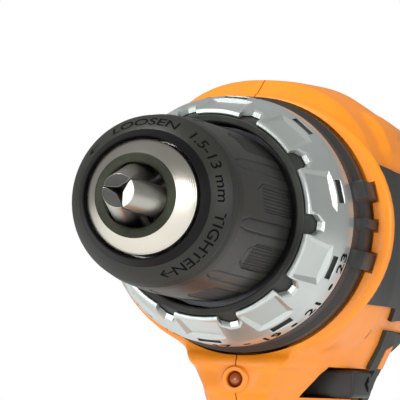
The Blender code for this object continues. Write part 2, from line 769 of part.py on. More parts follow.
def barrel_rings(grow):
    """Sections of the barrel, grown outwards: distance, half width, top, bottom, power."""
    width, top = BARREL_HALF_WIDTH, BARREL_TOP
    bottom = -0.0370
    sections = [
        (FLANGE_FRONT + 0.0015, width, RIM_HALF_HEIGHT - 0.0008, 0.0012 - RIM_HALF_HEIGHT, 2.0),
        (0.1070, width, top - 0.0053, bottom + 0.0015, 2.1),
        (0.1120, width, top - 0.0019, bottom, 2.3),
        (0.1180, width, top - 0.0012, bottom, 2.4),
        (0.1300, width + 0.0002, top - 0.0004, bottom, 2.7),
        (0.1500, width - 0.0010, top, bottom, 2.6),
        (0.1800, width - 0.0020, top, bottom, 2.5),
        (BARREL_REAR - 0.0150, width - 0.0035, top - 0.0020, bottom + 0.0020, 2.5),
        (BARREL_REAR - 0.0050 + grow / 2, width - 0.0085, top - 0.0075, bottom + 0.0070, 2.4),
        (BARREL_REAR + grow, width - 0.0155, top - 0.0160, bottom + 0.0150, 2.4),
    ]
    rings = []
    for distance, half_width, high, low, power in sections:
        centre = (high + low) / 2
        outline = superellipse(half_width + grow, (high - low) / 2 + grow, power)
        rings.append([(u, distance, centre + v) for u, v in outline])
    return rings


def upright_rings(sections, grow):
    """Level sections: height, centre distance, half width, half length, power."""
    rings = []
    for height, centre, half_width, half_length, power in sections:
        outline = superellipse(half_width + grow, half_length + grow, power)
        rings.append([(u, centre + v, height) for u, v in outline])
    return rings


def neck_rings(grow):
    """The chin, which widens behind its narrow front, and the wide top of the handle."""
    front, width, rear = NECK_FRONT, NECK_HALF_WIDTH, HANDLE_TOP + 0.0210
    sections = [
        (-0.0150, front + 0.0100, 0.0190, width, width + 0.0060, 0.1140),
        (-0.0290, front + 0.0020, 0.0160, width - 0.0030, width + 0.0020, 0.1150),
        (-0.0345, front + 0.0012, 0.0138, width - 0.0060, width - 0.0005, 0.1165),
        (-0.0362, front - 0.0002, 0.0125, width - 0.0065, width - 0.0010, 0.1170),
        (-0.0375, front, 0.0105, width - 0.0075, width - 0.0020, 0.1180),
        (-0.0435, front + 0.0005, 0.0085, width - 0.0095, width - 0.0040, 0.1205),
        (-0.0445, front + 0.0018, 0.0085, width - 0.0097, width - 0.0043, 0.1205),
        (NECK_BOTTOM - grow, front + 0.0055, 0.0075, width - 0.0115, width - 0.0065, 0.1210),
    ]
    rings = []
    for height, start, nose, crease, side, crease_at in sections:
        half = [(nose * 0.5, start - grow), (nose, start + 0.0012 - grow),
                (crease + grow, crease_at), (side + grow, 0.1400),
                (side + grow, rear - 0.0080), (side * 0.7, rear + grow)]
        outline = half + [(-u, v) for u, v in reversed(half)]
        rings.append([(u, v, height) for u, v in outline])
    return rings


def handle_rings(grow):
    width, depth, top, foot = HANDLE_HALF_WIDTH, HANDLE_HALF_DEPTH, HANDLE_TOP, HANDLE_FOOT
    lower = FOOT_TOP + 0.0040
    sections = [
        (-0.0200, top, width + 0.0030, depth + 0.0040, 2.3),
        (-0.0420, top, width + 0.0020, depth + 0.0040, 2.3),
        (-0.0600, top + 0.0010, width + 0.0004, depth + 0.0010, 2.3),
        (-0.0800, top + 0.0030, width, depth - 0.0002, 2.3),
        (-0.1020, top + 0.0055, width - 0.0002, depth - 0.0010, 2.3),
        (-0.1250, foot - 0.0010, width, depth, 2.4),
        (lower, foot, width + 0.0015, depth + 0.0020, 2.4),
        (FOOT_TOP - 0.0040, foot, width + 0.0050, depth + 0.0060, 2.6),
    ]
    return upright_rings(sections, grow)


def foot_rings(grow):
    width, length = FOOT_HALF_WIDTH, FOOT_HALF_LENGTH
    floor = FOOT_BOTTOM if grow >= 0.0 else FOOT_BOTTOM - grow
    roof = FOOT_TOP + grow
    sections = [
        (roof, FOOT_CENTRE + 0.0080, width - 0.0140, length - 0.0220, 3.0),
        (roof - 0.0035, FOOT_CENTRE + 0.0020, width - 0.0040, length - 0.0070, 4.0),
        (roof - 0.0065, FOOT_CENTRE, width, length - 0.0010, 5.0),
        (floor, FOOT_CENTRE, width, length, 5.0),
    ]
    return upright_rings(sections, grow if grow < 0.0 else 0.0)


def rim_rings():
    """The raised rim round the mouth, wider than it is high."""
    rear = FLANGE_FRONT + FLANGE_THICKNESS
    rings = []
    for distance, inset in ((FLANGE_FRONT, 0.0016), (FLANGE_FRONT + 0.0012, 0.0),
                            (rear - 0.0018, 0.0), (rear, 0.0020)):
        outline = superellipse(FLANGE_RADIUS - inset, RIM_HALF_HEIGHT - inset, 2.0)
        rings.append([(u, distance, v) for u, v in outline])
    return rings


def guide(name, rings):
    return place(hide(from_bmesh(name, loft_bmesh(rings), None, CUTTERS)), DATUM)


def skin_guide(label, grow):
    """One solid of the whole outside of the barrel, the neck and the handle."""
    solid = guide(f"barrel_{label}", barrel_rings(grow))
    boolean(solid, guide(f"neck_{label}", neck_rings(grow)), "UNION")
    boolean(solid, guide(f"handle_{label}", handle_rings(grow)), "UNION")
    return solid


def screw_places():
    """Distance, height and length across of the four screws that join the halves."""
    return [
        (BARREL_REAR - 0.0150, 0.0265, 0.0300),
        (0.1680, 0.0330, 0.0260),
        (HANDLE_TOP + 0.0045, -0.0960, 0.0210),
        (FOOT_CENTRE + 0.0430, FOOT_TOP - 0.0080, 0.0210),
    ]


def housing_block():
    """The whole housing in one piece, before it is parted into halves."""
    block = skin_guide("outer", 0.0)
    boolean(block, guide("foot_outer", foot_rings(0.0)), "UNION")
    boolean(block, guide("rim", rim_rings()), "UNION")

    hollow = skin_guide("inner", -WALL)
    boolean(hollow, guide("foot_inner", foot_rings(-WALL)), "UNION")
    for index, (distance, height, _) in enumerate(screw_places()):
        boss = cross_rod(f"boss_{index + 1}", -0.05, 0.05, distance, height, 0.0036, None, CUTTERS)
        boolean(hollow, hide(boss), "DIFFERENCE")
    boolean(block, hollow, "DIFFERENCE")

    mouth = hide(turned("mouth", [
        (0.0, FLANGE_FRONT - 0.0050),
        (MOUTH_RADIUS, FLANGE_FRONT - 0.0050),
        (MOUTH_RADIUS, FLANGE_FRONT + 0.0060),
        (0.0, FLANGE_FRONT + 0.0060),
    ], None, ROUND_STEPS + 4, CUTTERS))
    boolean(block, mouth, "DIFFERENCE")
    return block


def lever_window():
    """A cutter for the direction lever's way across the housing and the grips."""
    half_height = LEVER_HEIGHT / 2 + GAP
    return cutter_box("lever_window", (-0.05, LEVER_FRONT - GAP, -LEVER_DROP - half_height),
                      (0.05, LEVER_FRONT + LEVER_LENGTH + GAP, -LEVER_DROP + half_height))


def make_openings():
    """Boxes and rods that are cut out of both halves of the housing."""
    side = TRIGGER_HALF_WIDTH + GAP
    trigger_bottom = TRIGGER_TOP - TRIGGER_HEIGHT
    selector_rear = SELECTOR_FRONT + SELECTOR_LENGTH + SELECTOR_TRAVEL
    openings = [
        cutter_box("trigger_window", (-side, TRIGGER_FRONT, trigger_bottom - GAP),
                   (side, HANDLE_TOP - 0.0100, TRIGGER_TOP + GAP)),
        lever_window(),
        cutter_box("selector_window", (-0.0036, SELECTOR_FRONT + 0.0017, BARREL_TOP - 0.0080),
                   (0.0036, selector_rear - 0.0017, BARREL_TOP + 0.0100)),
        cutter_box("battery_channel",
                   (-TOWER_HALF_WIDTH - GAP, TOWER_FRONT - CHANNEL_LEAD, FOOT_BOTTOM - 0.0050),
                   (TOWER_HALF_WIDTH + GAP, TOWER_FRONT + TOWER_LENGTH + GAP,
                    FOOT_BOTTOM + TOWER_HEIGHT + 2 * GAP)),
    ]
    data = cylinder_bmesh(LED_RADIUS + GAP, 0.0120, 16)
    led_hole = hide(from_bmesh("led_hole", data, None, CUTTERS))
    openings.append(place(led_hole, AXIS, (0.0, -LED_DROP, -(NECK_FRONT + 0.0090))))
    for index in range(4):
        front = BARREL_REAR - 0.0312 + 0.0050 * index
        openings.append(cutter_box(f"vent_{index + 1}", (-0.05, front, -0.0300),
                                   (0.05, front + 0.0022, -0.0225)))
    return openings


def make_housing():
    block = housing_block()
    openings = make_openings()
    whole = bake(block, "housing_whole", ORANGE)
    for name, direction in (("housing_left", 1.0), ("housing_right", -1.0)):
        half = bpy.data.objects.new(name, whole.data.copy())
        PARTS.objects.link(half)
        place(half, DATUM)
        inner, outer = sorted((direction * GAP / 2, -direction * 0.06))
        boolean(half, cutter_box(f"other_side_of_{name}", (inner, -0.02, -0.22),
                                 (outer, 0.24, 0.08)), "DIFFERENCE")
        for opening in openings:
            boolean(half, opening, "DIFFERENCE")
        cut_screw_holes(half, name, direction)
    bpy.data.objects.remove(whole)
    make_screws()
    make_trim()


def cut_screw_holes(half, name, direction):
    """The right half holds the screws' heads, and the left half their threads."""
    for index, (distance, height, across) in enumerate(screw_places()):
        if direction > 0:
            hole = cross_rod(f"{name}_pilot_{index + 1}", -0.002, across * 0.5 + GAP, distance,
                             height, 0.0015 + GAP, None, CUTTERS)
            boolean(half, hide(hole), "DIFFERENCE")
        else:
            shank = cross_rod(f"{name}_shank_{index + 1}", -across, 0.002, distance, height,
                              0.0015 + GAP, None, CUTTERS)
            head = cross_rod(f"{name}_head_{index + 1}", -0.05, -across * 0.5, distance, height,
                             0.0030 + GAP, None, CUTTERS)
            boolean(half, hide(shank), "DIFFERENCE")
            boolean(half, hide(head), "DIFFERENCE")


def make_screws():
    for index, (distance, height, across) in enumerate(screw_places()):
        seat = -across * 0.5 - GAP
        head = cylinder_bmesh(0.0030, 0.0022)
        bmesh.ops.rotate(head, matrix=Matrix.Rotation(math.pi / 2, 3, "Y"), verts=head.verts)
        screw = from_bmesh(f"housing_screw_{index + 1}", head, DARK_STEEL)
        place(screw, DATUM, (seat - 0.0022, distance, height))
        shank = cross_rod(f"screw_shank_{index + 1}", seat - 0.0010, across * 0.5, distance,
                          height, 0.0015, None, CUTTERS)
        boolean(screw, hide(shank), "UNION")


def make_trim():
    """Side panels and soft grips: thin shells that follow the housing's skin."""
    rear_of_flange = FLANGE_FRONT + FLANGE_THICKNESS + 0.0010
    panel = [(rear_of_flange, 0.0160), (rear_of_flange, -0.0185),
             (BARREL_REAR - 0.0200, -0.0185), (BARREL_REAR - 0.0120, 0.0160)]
    handle_front = HANDLE_TOP - 0.0260
    below_trigger = TRIGGER_TOP - TRIGGER_HEIGHT - 0.0030
    grip = [(HANDLE_TOP - 0.0015, -0.0245), (BARREL_REAR - 0.0220, -0.0245),
            (BARREL_REAR - 0.0220, -0.1320), (handle_front, -0.1320),
            (handle_front, below_trigger),
            (HANDLE_TOP - 0.0130, below_trigger),
            (HANDLE_TOP - 0.0015, below_trigger + 0.0110)]
    outside = bake(skin_guide("trim_outside", TRIM_THICKNESS + GAP), "trim_outside", BLACK_PLASTIC)
    inside = bake(skin_guide("trim_inside", GAP), "trim_inside", BLACK_PLASTIC)
    PARTS.objects.unlink(inside)
    CUTTERS.objects.link(hide(inside))
    place(inside, DATUM)
    lever_slot = lever_window()
    for side, direction in (("left", 1.0), ("right", -1.0)):
        for name, outline, material in (("side_panel", panel, BLACK_PLASTIC),
                                        ("grip", grip, RUBBER)):
            low, high = sorted((direction * GAP, direction * 0.05))
            shell = bpy.data.objects.new(f"{name}_{side}", outside.data.copy())
            shell.data.materials.clear()
            shell.data.materials.append(material)
            PARTS.objects.link(shell)
            place(shell, DATUM)
            region = from_bmesh(f"{name}_{side}_region", prism_bmesh(outline, low, high), None,
                                CUTTERS, smooth=False)
            boolean(shell, place(hide(region), DATUM), "INTERSECT")
            boolean(shell, inside, "DIFFERENCE")
            if name == "grip":
                boolean(shell, lever_slot, "DIFFERENCE")
    bpy.data.objects.remove(outside)


def make_led():
    front = NECK_FRONT - 0.0004
    lens = turned("led_lens", [
        (0.0, front),
        (LED_RADIUS * 0.7, front + 0.0003),
        (LED_RADIUS, front + 0.0011),
        (LED_RADIUS, front + 0.0070),
        (0.0, front + 0.0070),
    ], AMBER, 16)
    place(lens, AXIS, (0.0, -LED_DROP, 0.0))


# ---------------------------------------------------------------- controls

def make_trigger():
    """A finger trigger with a hollow back for its spring, on a joint along +Y."""
    bottom = TRIGGER_TOP - TRIGGER_HEIGHT
    rear = TRIGGER_FRONT + 0.0195
    curve_steps = 6
    outline = [(rear, TRIGGER_TOP), (rear, bottom)]
    for step in range(curve_steps + 1):
        share = step / curve_steps
        dish = 0.0030 * math.sin(math.pi * share)
        outline.append((TRIGGER_FRONT + 0.0030 * (1.0 - share) + dish,
                        bottom + TRIGGER_HEIGHT * share))
    data = prism_bmesh(outline, -TRIGGER_HALF_WIDTH, TRIGGER_HALF_WIDTH)
    trigger = place(from_bmesh("trigger", data, BLACK_PLASTIC, smooth=False), DATUM)
    bevel = trigger.modifiers.new("soft_edges", "BEVEL")
    bevel.width = 0.0008
    bevel.segments = 2
    bevel.limit_method = "ANGLE"
    middle = TRIGGER_TOP - TRIGGER_HEIGHT * 0.45
    pocket_front = TRIGGER_FRONT + 0.0105
    data = cylinder_bmesh(0.0040, 0.0120, 16)
    pocket = hide(from_bmesh("spring_pocket", data, None, CUTTERS))
    place(pocket, AXIS, (0.0, middle, -(pocket_front + 0.0120)))
    boolean(trigger, pocket, "DIFFERENCE")

    switch_front = rear + TRIGGER_TRAVEL + 0.0010
    box("switch_body", (-0.0110, switch_front, bottom + 0.0010),
        (0.0110, switch_front + 0.0215, TRIGGER_TOP - 0.0010), BLACK_PLASTIC, bevel=0.0010)
    spring_axis = new_empty("trigger_spring_axis", (0.0, middle, 0.0), AXIS)
    coil("trigger_spring", spring_axis, 0.0030, 0.0004, pocket_front + GAP, switch_front - GAP,
         6, 10)


def make_lever():
    """The direction lever runs across the drill, and rests pushed towards the left side."""
    low = -LEVER_DROP - LEVER_HEIGHT / 2
    box("direction_lever", (LEVER_OFFSET - LEVER_HALF_SPAN, LEVER_FRONT, low),
        (LEVER_OFFSET + LEVER_HALF_SPAN, LEVER_FRONT + LEVER_LENGTH, low + LEVER_HEIGHT),
        BLACK_PLASTIC, bevel=0.0009)


def make_selector():
    """The speed selector on top, and the fork that carries it to the front ring gear."""
    top = BARREL_TOP
    stem_half = SELECTOR_LENGTH / 2 - 0.0020 - GAP
    middle = SELECTOR_FRONT + SELECTOR_LENGTH / 2
    slider = box("speed_selector", (-0.0080, SELECTOR_FRONT, top + GAP),
                 (0.0080, SELECTOR_FRONT + SELECTOR_LENGTH, top + SELECTOR_HEIGHT), BLACK_PLASTIC,
                 bevel=0.0008)
    stem = cutter_box("selector_stem", (-0.0030, middle - stem_half, top - 0.0080),
                      (0.0030, middle + stem_half, top + 0.0010))
    boolean(slider, stem, "UNION")
    bar_low, bar_high = GEARCASE_RADIUS + 0.0020, GEARCASE_RADIUS + 0.0040
    fork_middle = FRONT_STAGE + GEAR_WIDTH / 2
    fork = box("shift_fork", (-0.0028, fork_middle - 0.0025, bar_low),
               (0.0028, middle + 0.0030, bar_high), STEEL)
    finger = cutter_box("fork_finger", (-0.0028, fork_middle - 0.0025, RING_RADIUS + GAP),
                        (0.0028, fork_middle + 0.0010, bar_low + 0.0010))
    tang = cutter_box("fork_tang", (-0.0020, middle - 0.0030, bar_high - 0.0010),
                      (0.0020, middle + 0.0030, top - 0.0080 - GAP))
    boolean(fork, finger, "UNION")
    boolean(fork, tang, "UNION")


# ---------------------------------------------------------------- battery

def battery_block(name, low, high, shrink):
    """A slab of the battery's outline between two heights above its underside."""
    floor = BATTERY_FLOOR
    sections = [
        (floor + low, TIP_TO_FOOT, BATTERY_HALF_WIDTH - shrink - 0.0012,
         BATTERY_HALF_LENGTH - shrink - 0.0012, BATTERY_POWER),
        (floor + low + 0.0012, TIP_TO_FOOT, BATTERY_HALF_WIDTH - shrink,
         BATTERY_HALF_LENGTH - shrink, BATTERY_POWER),
        (floor + high, TIP_TO_FOOT, BATTERY_HALF_WIDTH - shrink,
         BATTERY_HALF_LENGTH - shrink, BATTERY_POWER),
    ]
    return place(from_bmesh(name, loft_bmesh(upright_rings(sections, 0.0)), BLACK_PLASTIC), DATUM)


def make_battery():
    case = battery_block("battery_case", 0.0, CASE_HEIGHT, 0.0)
    tray = hide(battery_block("case_hollow", BATTERY_WALL, CASE_HEIGHT + 0.0050, BATTERY_WALL))
    boolean(case, tray, "DIFFERENCE")

    lid_floor = CASE_HEIGHT + GAP
    lid = battery_block("battery_lid", lid_floor, BATTERY_HEIGHT, 0.0)
    tower = cutter_box("battery_tower",
                       (-TOWER_HALF_WIDTH, TOWER_FRONT, FOOT_BOTTOM - 0.0030),
                       (TOWER_HALF_WIDTH, TOWER_FRONT + TOWER_LENGTH, FOOT_BOTTOM + TOWER_HEIGHT))
    boolean(lid, tower, "UNION")
    under = hide(battery_block("lid_hollow", lid_floor - 0.0050, BATTERY_HEIGHT - BATTERY_WALL,
                               BATTERY_WALL))
    boolean(lid, under, "DIFFERENCE")
    front = TIP_TO_FOOT - BATTERY_HALF_LENGTH
    notch_low = BATTERY_FLOOR + CASE_HEIGHT + 0.0030
    notch = cutter_box("release_notch", (-0.0140, front - 0.0050, notch_low),
                       (0.0140, front + 0.0060, notch_low + 0.0075))
    boolean(lid, notch, "DIFFERENCE")
    box("battery_release", (-0.0137, front + 0.0003, notch_low + GAP),
        (0.0137, front + 0.0120, notch_low + 0.0075 - GAP), ORANGE, bevel=0.0009)

    for index in range(CELL_COUNT):
        along = TIP_TO_FOOT + (index - (CELL_COUNT - 1) / 2) * CELL_PITCH
        cross_rod(f"battery_cell_{index + 1}", -CELL_LENGTH / 2, CELL_LENGTH / 2, along,
                  BATTERY_FLOOR + BATTERY_WALL + GAP + CELL_RADIUS, CELL_RADIUS, CELL_SLEEVE)

    tower_rear = TOWER_FRONT + TOWER_LENGTH
    box("terminal_block", (-0.0130, tower_rear + 2 * GAP, FOOT_BOTTOM + WALL + GAP),
        (0.0130, tower_rear + 0.0120, FOOT_BOTTOM + FOOT_HEIGHT - WALL - 0.0020), BLACK_PLASTIC,
        bevel=0.0006)


# ---------------------------------------------------------------- build

clear_scene()
PARTS = new_collection(OBJECT)
CUTTERS = new_collection("cutters")
DATUM = new_empty("jaw_tip_datum", (0.0, -TIP_TO_FOOT, AXIS_HEIGHT))
AXIS = new_empty("drill_axis", (0.0, -TIP_TO_FOOT, AXIS_HEIGHT), turn=math.pi / 2)

STEEL = new_material("bright_steel", (0.62, 0.60, 0.55), 0.28, 1.0)
DARK_STEEL = new_material("dark_steel", (0.12, 0.12, 0.13), 0.40, 1.0)
ALUMINIUM = new_material("cast_aluminium", (0.55, 0.55, 0.54), 0.45, 1.0)
BRASS = new_material("brass", (0.72, 0.52, 0.22), 0.35, 1.0)
COPPER = new_material("copper", (0.75, 0.38, 0.22), 0.35, 1.0)
ORANGE = new_material("orange_housing", (0.87, 0.26, 0.02), 0.42)
BLACK_PLASTIC = new_material("black_plastic", (0.035, 0.035, 0.033), 0.45)
GREY_PLASTIC = new_material("grey_plastic", (0.12, 0.13, 0.12), 0.55)
SILVER_PLASTIC = new_material("silver_dial", (0.60, 0.63, 0.61), 0.30, 0.3)
RUBBER = new_material("grip_rubber", (0.05, 0.055, 0.05), 0.75)
AMBER = new_material("amber_lens", (0.45, 0.16, 0.05), 0.15)
CELL_SLEEVE = new_material("cell_sleeve", (0.08, 0.25, 0.45), 0.40)

make_chuck()
make_clutch()
make_gearbox()
make_motor()
make_housing()
make_led()
make_trigger()
make_lever()
make_selector()
make_battery()
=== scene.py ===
"""Looks of the cordless drill: fine meshes, finishes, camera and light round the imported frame."""

import json
import logging
import math
from dataclasses import dataclass, field
from enum import Enum
from functools import lru_cache
from typing import Callable, Optional, Sequence

import bmesh
import bpy
from mathutils import Matrix, Vector


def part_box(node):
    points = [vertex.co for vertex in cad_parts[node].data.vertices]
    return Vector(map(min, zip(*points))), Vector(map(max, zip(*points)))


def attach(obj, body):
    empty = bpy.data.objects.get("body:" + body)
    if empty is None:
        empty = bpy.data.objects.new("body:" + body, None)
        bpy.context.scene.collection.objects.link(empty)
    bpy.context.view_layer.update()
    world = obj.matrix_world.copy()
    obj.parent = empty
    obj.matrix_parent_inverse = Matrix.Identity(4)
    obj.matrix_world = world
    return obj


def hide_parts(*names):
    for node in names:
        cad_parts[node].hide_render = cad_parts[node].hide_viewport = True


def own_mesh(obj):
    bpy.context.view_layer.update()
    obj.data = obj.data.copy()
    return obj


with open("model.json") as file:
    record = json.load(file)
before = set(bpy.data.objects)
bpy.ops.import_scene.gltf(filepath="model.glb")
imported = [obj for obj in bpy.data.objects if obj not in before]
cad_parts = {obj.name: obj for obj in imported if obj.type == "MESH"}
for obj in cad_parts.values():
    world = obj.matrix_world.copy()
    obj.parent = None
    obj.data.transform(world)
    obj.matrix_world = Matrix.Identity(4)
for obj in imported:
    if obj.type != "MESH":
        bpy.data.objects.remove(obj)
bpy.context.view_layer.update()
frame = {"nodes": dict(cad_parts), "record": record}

log = logging.getLogger("drill")
MM = 0.001
Point = tuple[float, float]
Triple = tuple[float, float, float]


# ---------------------------------------------------------------- the drill's own directions

@dataclass(frozen=True)
class Datum:
    """Turns lengths behind the jaw tips and heights above the chuck's axis into places."""

    tip_y: float
    axis_z: float

    @classmethod
    def from_frame(cls) -> "Datum":
        """Reads the tip and the axis off the CAD nodes."""
        low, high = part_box("spindle_bearing")
        tip = min(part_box(f"jaw_{index}")[0].y for index in (1, 2, 3))
        return cls(tip_y=tip, axis_z=(low.z + high.z) / 2)

    def place(self, x: float, s: float, z: float) -> Vector:
        """A place from across, behind the tips and above the axis, in millimetres."""
        return Vector((x * MM, self.tip_y + s * MM, self.axis_z + z * MM))

    def polar(self, radius: float, degrees: float, s: float) -> Vector:
        """A place round the axis; the angle runs from +X up towards +Z."""
        angle = math.radians(degrees)
        return self.place(radius * math.cos(angle), s, radius * math.sin(angle))

    def behind(self, place: Vector) -> float:
        """How far a place lies behind the tips, in millimetres."""
        return (place.y - self.tip_y) / MM

    def above(self, place: Vector) -> float:
        """How far a place lies above the axis, in millimetres."""
        return (place.z - self.axis_z) / MM


DATUM = Datum.from_frame()


def link(item: bpy.types.Object) -> None:
    """Puts an object in the scene."""
    bpy.context.scene.collection.objects.link(item)


def smoothstep(low: float, high: float, value: float) -> float:
    """Rises smoothly from 0 at low to 1 at high.

    Args:
        low: where the rise starts.
        high: where it ends.
        value: where it is read.

    Returns:
        The height of the rise, from 0 to 1.
    """
    share = min(1.0, max(0.0, (value - low) / (high - low)))
    return share * share * (3.0 - 2.0 * share)


@lru_cache(maxsize=None)
def edge_distance(outline: tuple[Point, ...], u: float, v: float) -> float:
    """Signed distance from a closed outline, negative inside.

    Args:
        outline: corners in order.
        u: first coordinate of the point.
        v: second coordinate of the point.

    Returns:
        The distance to the nearest edge, in the outline's units.
    """
    nearest = 1e9
    inside = False
    for (au, av), (bu, bv) in zip(outline, outline[1:] + outline[:1]):
        du, dv = bu - au, bv - av
        share = ((u - au) * du + (v - av) * dv) / (du * du + dv * dv)
        share = min(1.0, max(0.0, share))
        nearest = min(nearest, math.hypot(u - au - share * du, v - av - share * dv))
        if (av > v) != (bv > v) and u < au + (v - av) * du / dv:
            inside = not inside
    return -nearest if inside else nearest


# ---------------------------------------------------------------- finishes

class Grain(Enum):
    """How a surface is broken up close to."""

    SMOOTH = "smooth"
    FINE = "fine"
    TURNED = "turned"
    GROUND = "ground"
    CAST = "cast"
    RUBBER = "rubber"


GRAIN_SCALES: dict[Grain, float] = {
    Grain.FINE: 2600.0, Grain.GROUND: 1800.0, Grain.CAST: 900.0, Grain.RUBBER: 1500.0}


@dataclass(frozen=True)
class Finish:
    """A procedural surface: colour with slight variation, gloss and a fine relief."""

    name: str
    colour: Triple
    roughness: float
    metallic: float = 0.0
    grain: Grain = Grain.FINE
    variation: float = 0.06
    relief: float = 0.10
    coat: float = 0.0
    anisotropy: float = 0.0
    specular: float = 0.5
    glow: float = 0.0
    coat_roughness: float = 0.15
    mottle_scale: float = 120.0
    patch_scale: float = 60.0
    gloss_spread: float = 0.05
    relief_depth: float = 0.0002

    def material(self) -> bpy.types.Material:
        """Builds the node material, or returns the one made before."""
        name = f"{self.name}_finish"
        found = bpy.data.materials.get(name)
        if found:
            return found
        material = bpy.data.materials.new(name)
        material.use_nodes = True
        tree = material.node_tree
        shader = tree.nodes["Principled BSDF"]
        shader.inputs["Metallic"].default_value = self.metallic
        shader.inputs["Coat Weight"].default_value = self.coat
        shader.inputs["Coat Roughness"].default_value = self.coat_roughness
        shader.inputs["Anisotropic"].default_value = self.anisotropy
        shader.inputs["Specular IOR Level"].default_value = self.specular
        shader.inputs["Emission Strength"].default_value = self.glow
        if self.anisotropy:
            grain = tree.nodes.new("ShaderNodeTangent")
            grain.direction_type = "RADIAL"
            grain.axis = "Y"
            tree.links.new(grain.outputs["Tangent"], shader.inputs["Tangent"])
        place = tree.nodes.new("ShaderNodeTexCoord")
        mottle = self._noise(tree, place, self.mottle_scale, 3.0)
        self._colour(tree, shader, mottle)
        self._gloss(tree, shader, place)
        self._relief(tree, shader, place)
        return material

    @staticmethod
    def _noise(tree: bpy.types.NodeTree, place: bpy.types.Node, scale: float,
               detail: float) -> bpy.types.Node:
        """Adds a noise texture on the object's own coordinates."""
        noise = tree.nodes.new("ShaderNodeTexNoise")
        noise.inputs["Scale"].default_value = scale
        noise.inputs["Detail"].default_value = detail
        tree.links.new(place.outputs["Object"], noise.inputs["Vector"])
        return noise

    def _colour(self, tree: bpy.types.NodeTree, shader: bpy.types.Node,
                mottle: bpy.types.Node) -> None:
        """Varies the base colour a little round its mean."""
        ramp = tree.nodes.new("ShaderNodeValToRGB")
        low = [max(0.0, part * (1.0 - self.variation)) for part in self.colour]
        high = [min(1.0, part * (1.0 + self.variation)) for part in self.colour]
        ramp.color_ramp.elements[0].position = 0.3
        ramp.color_ramp.elements[1].position = 0.7
        ramp.color_ramp.elements[0].color = (*low, 1.0)
        ramp.color_ramp.elements[1].color = (*high, 1.0)
        tree.links.new(mottle.outputs["Fac"], ramp.inputs["Fac"])
        tree.links.new(ramp.outputs["Color"], shader.inputs["Base Color"])

    def _gloss(self, tree: bpy.types.NodeTree, shader: bpy.types.Node,
               place: bpy.types.Node) -> None:
        """Varies the roughness a little, as handling and moulding leave it."""
        patches = self._noise(tree, place, self.patch_scale, 2.0)
        spread = tree.nodes.new("ShaderNodeMapRange")
        spread.inputs["To Min"].default_value = max(0.02, self.roughness - self.gloss_spread)
        spread.inputs["To Max"].default_value = min(1.0, self.roughness + self.gloss_spread)
        tree.links.new(patches.outputs["Fac"], spread.inputs["Value"])
        tree.links.new(spread.outputs["Result"], shader.inputs["Roughness"])

    def _relief(self, tree: bpy.types.NodeTree, shader: bpy.types.Node,
                place: bpy.types.Node) -> None:
        """Adds the grain as a fine bump."""
        if self.grain is Grain.SMOOTH:
            return
        bump = tree.nodes.new("ShaderNodeBump")
        bump.inputs["Strength"].default_value = self.relief
        bump.inputs["Distance"].default_value = self.relief_depth
        if self.grain is Grain.TURNED:
            source = self._rings(tree, place)
        else:
            source = self._noise(tree, place, GRAIN_SCALES[self.grain], 2.0).outputs["Fac"]
        tree.links.new(source, bump.inputs["Height"])
        tree.links.new(bump.outputs["Normal"], shader.inputs["Normal"])

    @staticmethod
    def _rings(tree: bpy.types.NodeTree, place: bpy.types.Node) -> bpy.types.NodeSocket:
        """Turning marks: fine rings round the chuck's axis."""
        shift = tree.nodes.new("ShaderNodeMapping")
        shift.inputs["Location"].default_value = (0.0, 0.0, -DATUM.axis_z)
        tree.links.new(place.outputs["Object"], shift.inputs["Vector"])
        rings = tree.nodes.new("ShaderNodeTexWave")
        rings.wave_type = "RINGS"
        rings.rings_direction = "Y"
        rings.inputs["Scale"].default_value = 900.0
        rings.inputs["Distortion"].default_value = 0.6
        rings.inputs["Detail"].default_value = 3.0
        tree.links.new(shift.outputs["Vector"], rings.inputs["Vector"])
        return rings.outputs["Fac"]


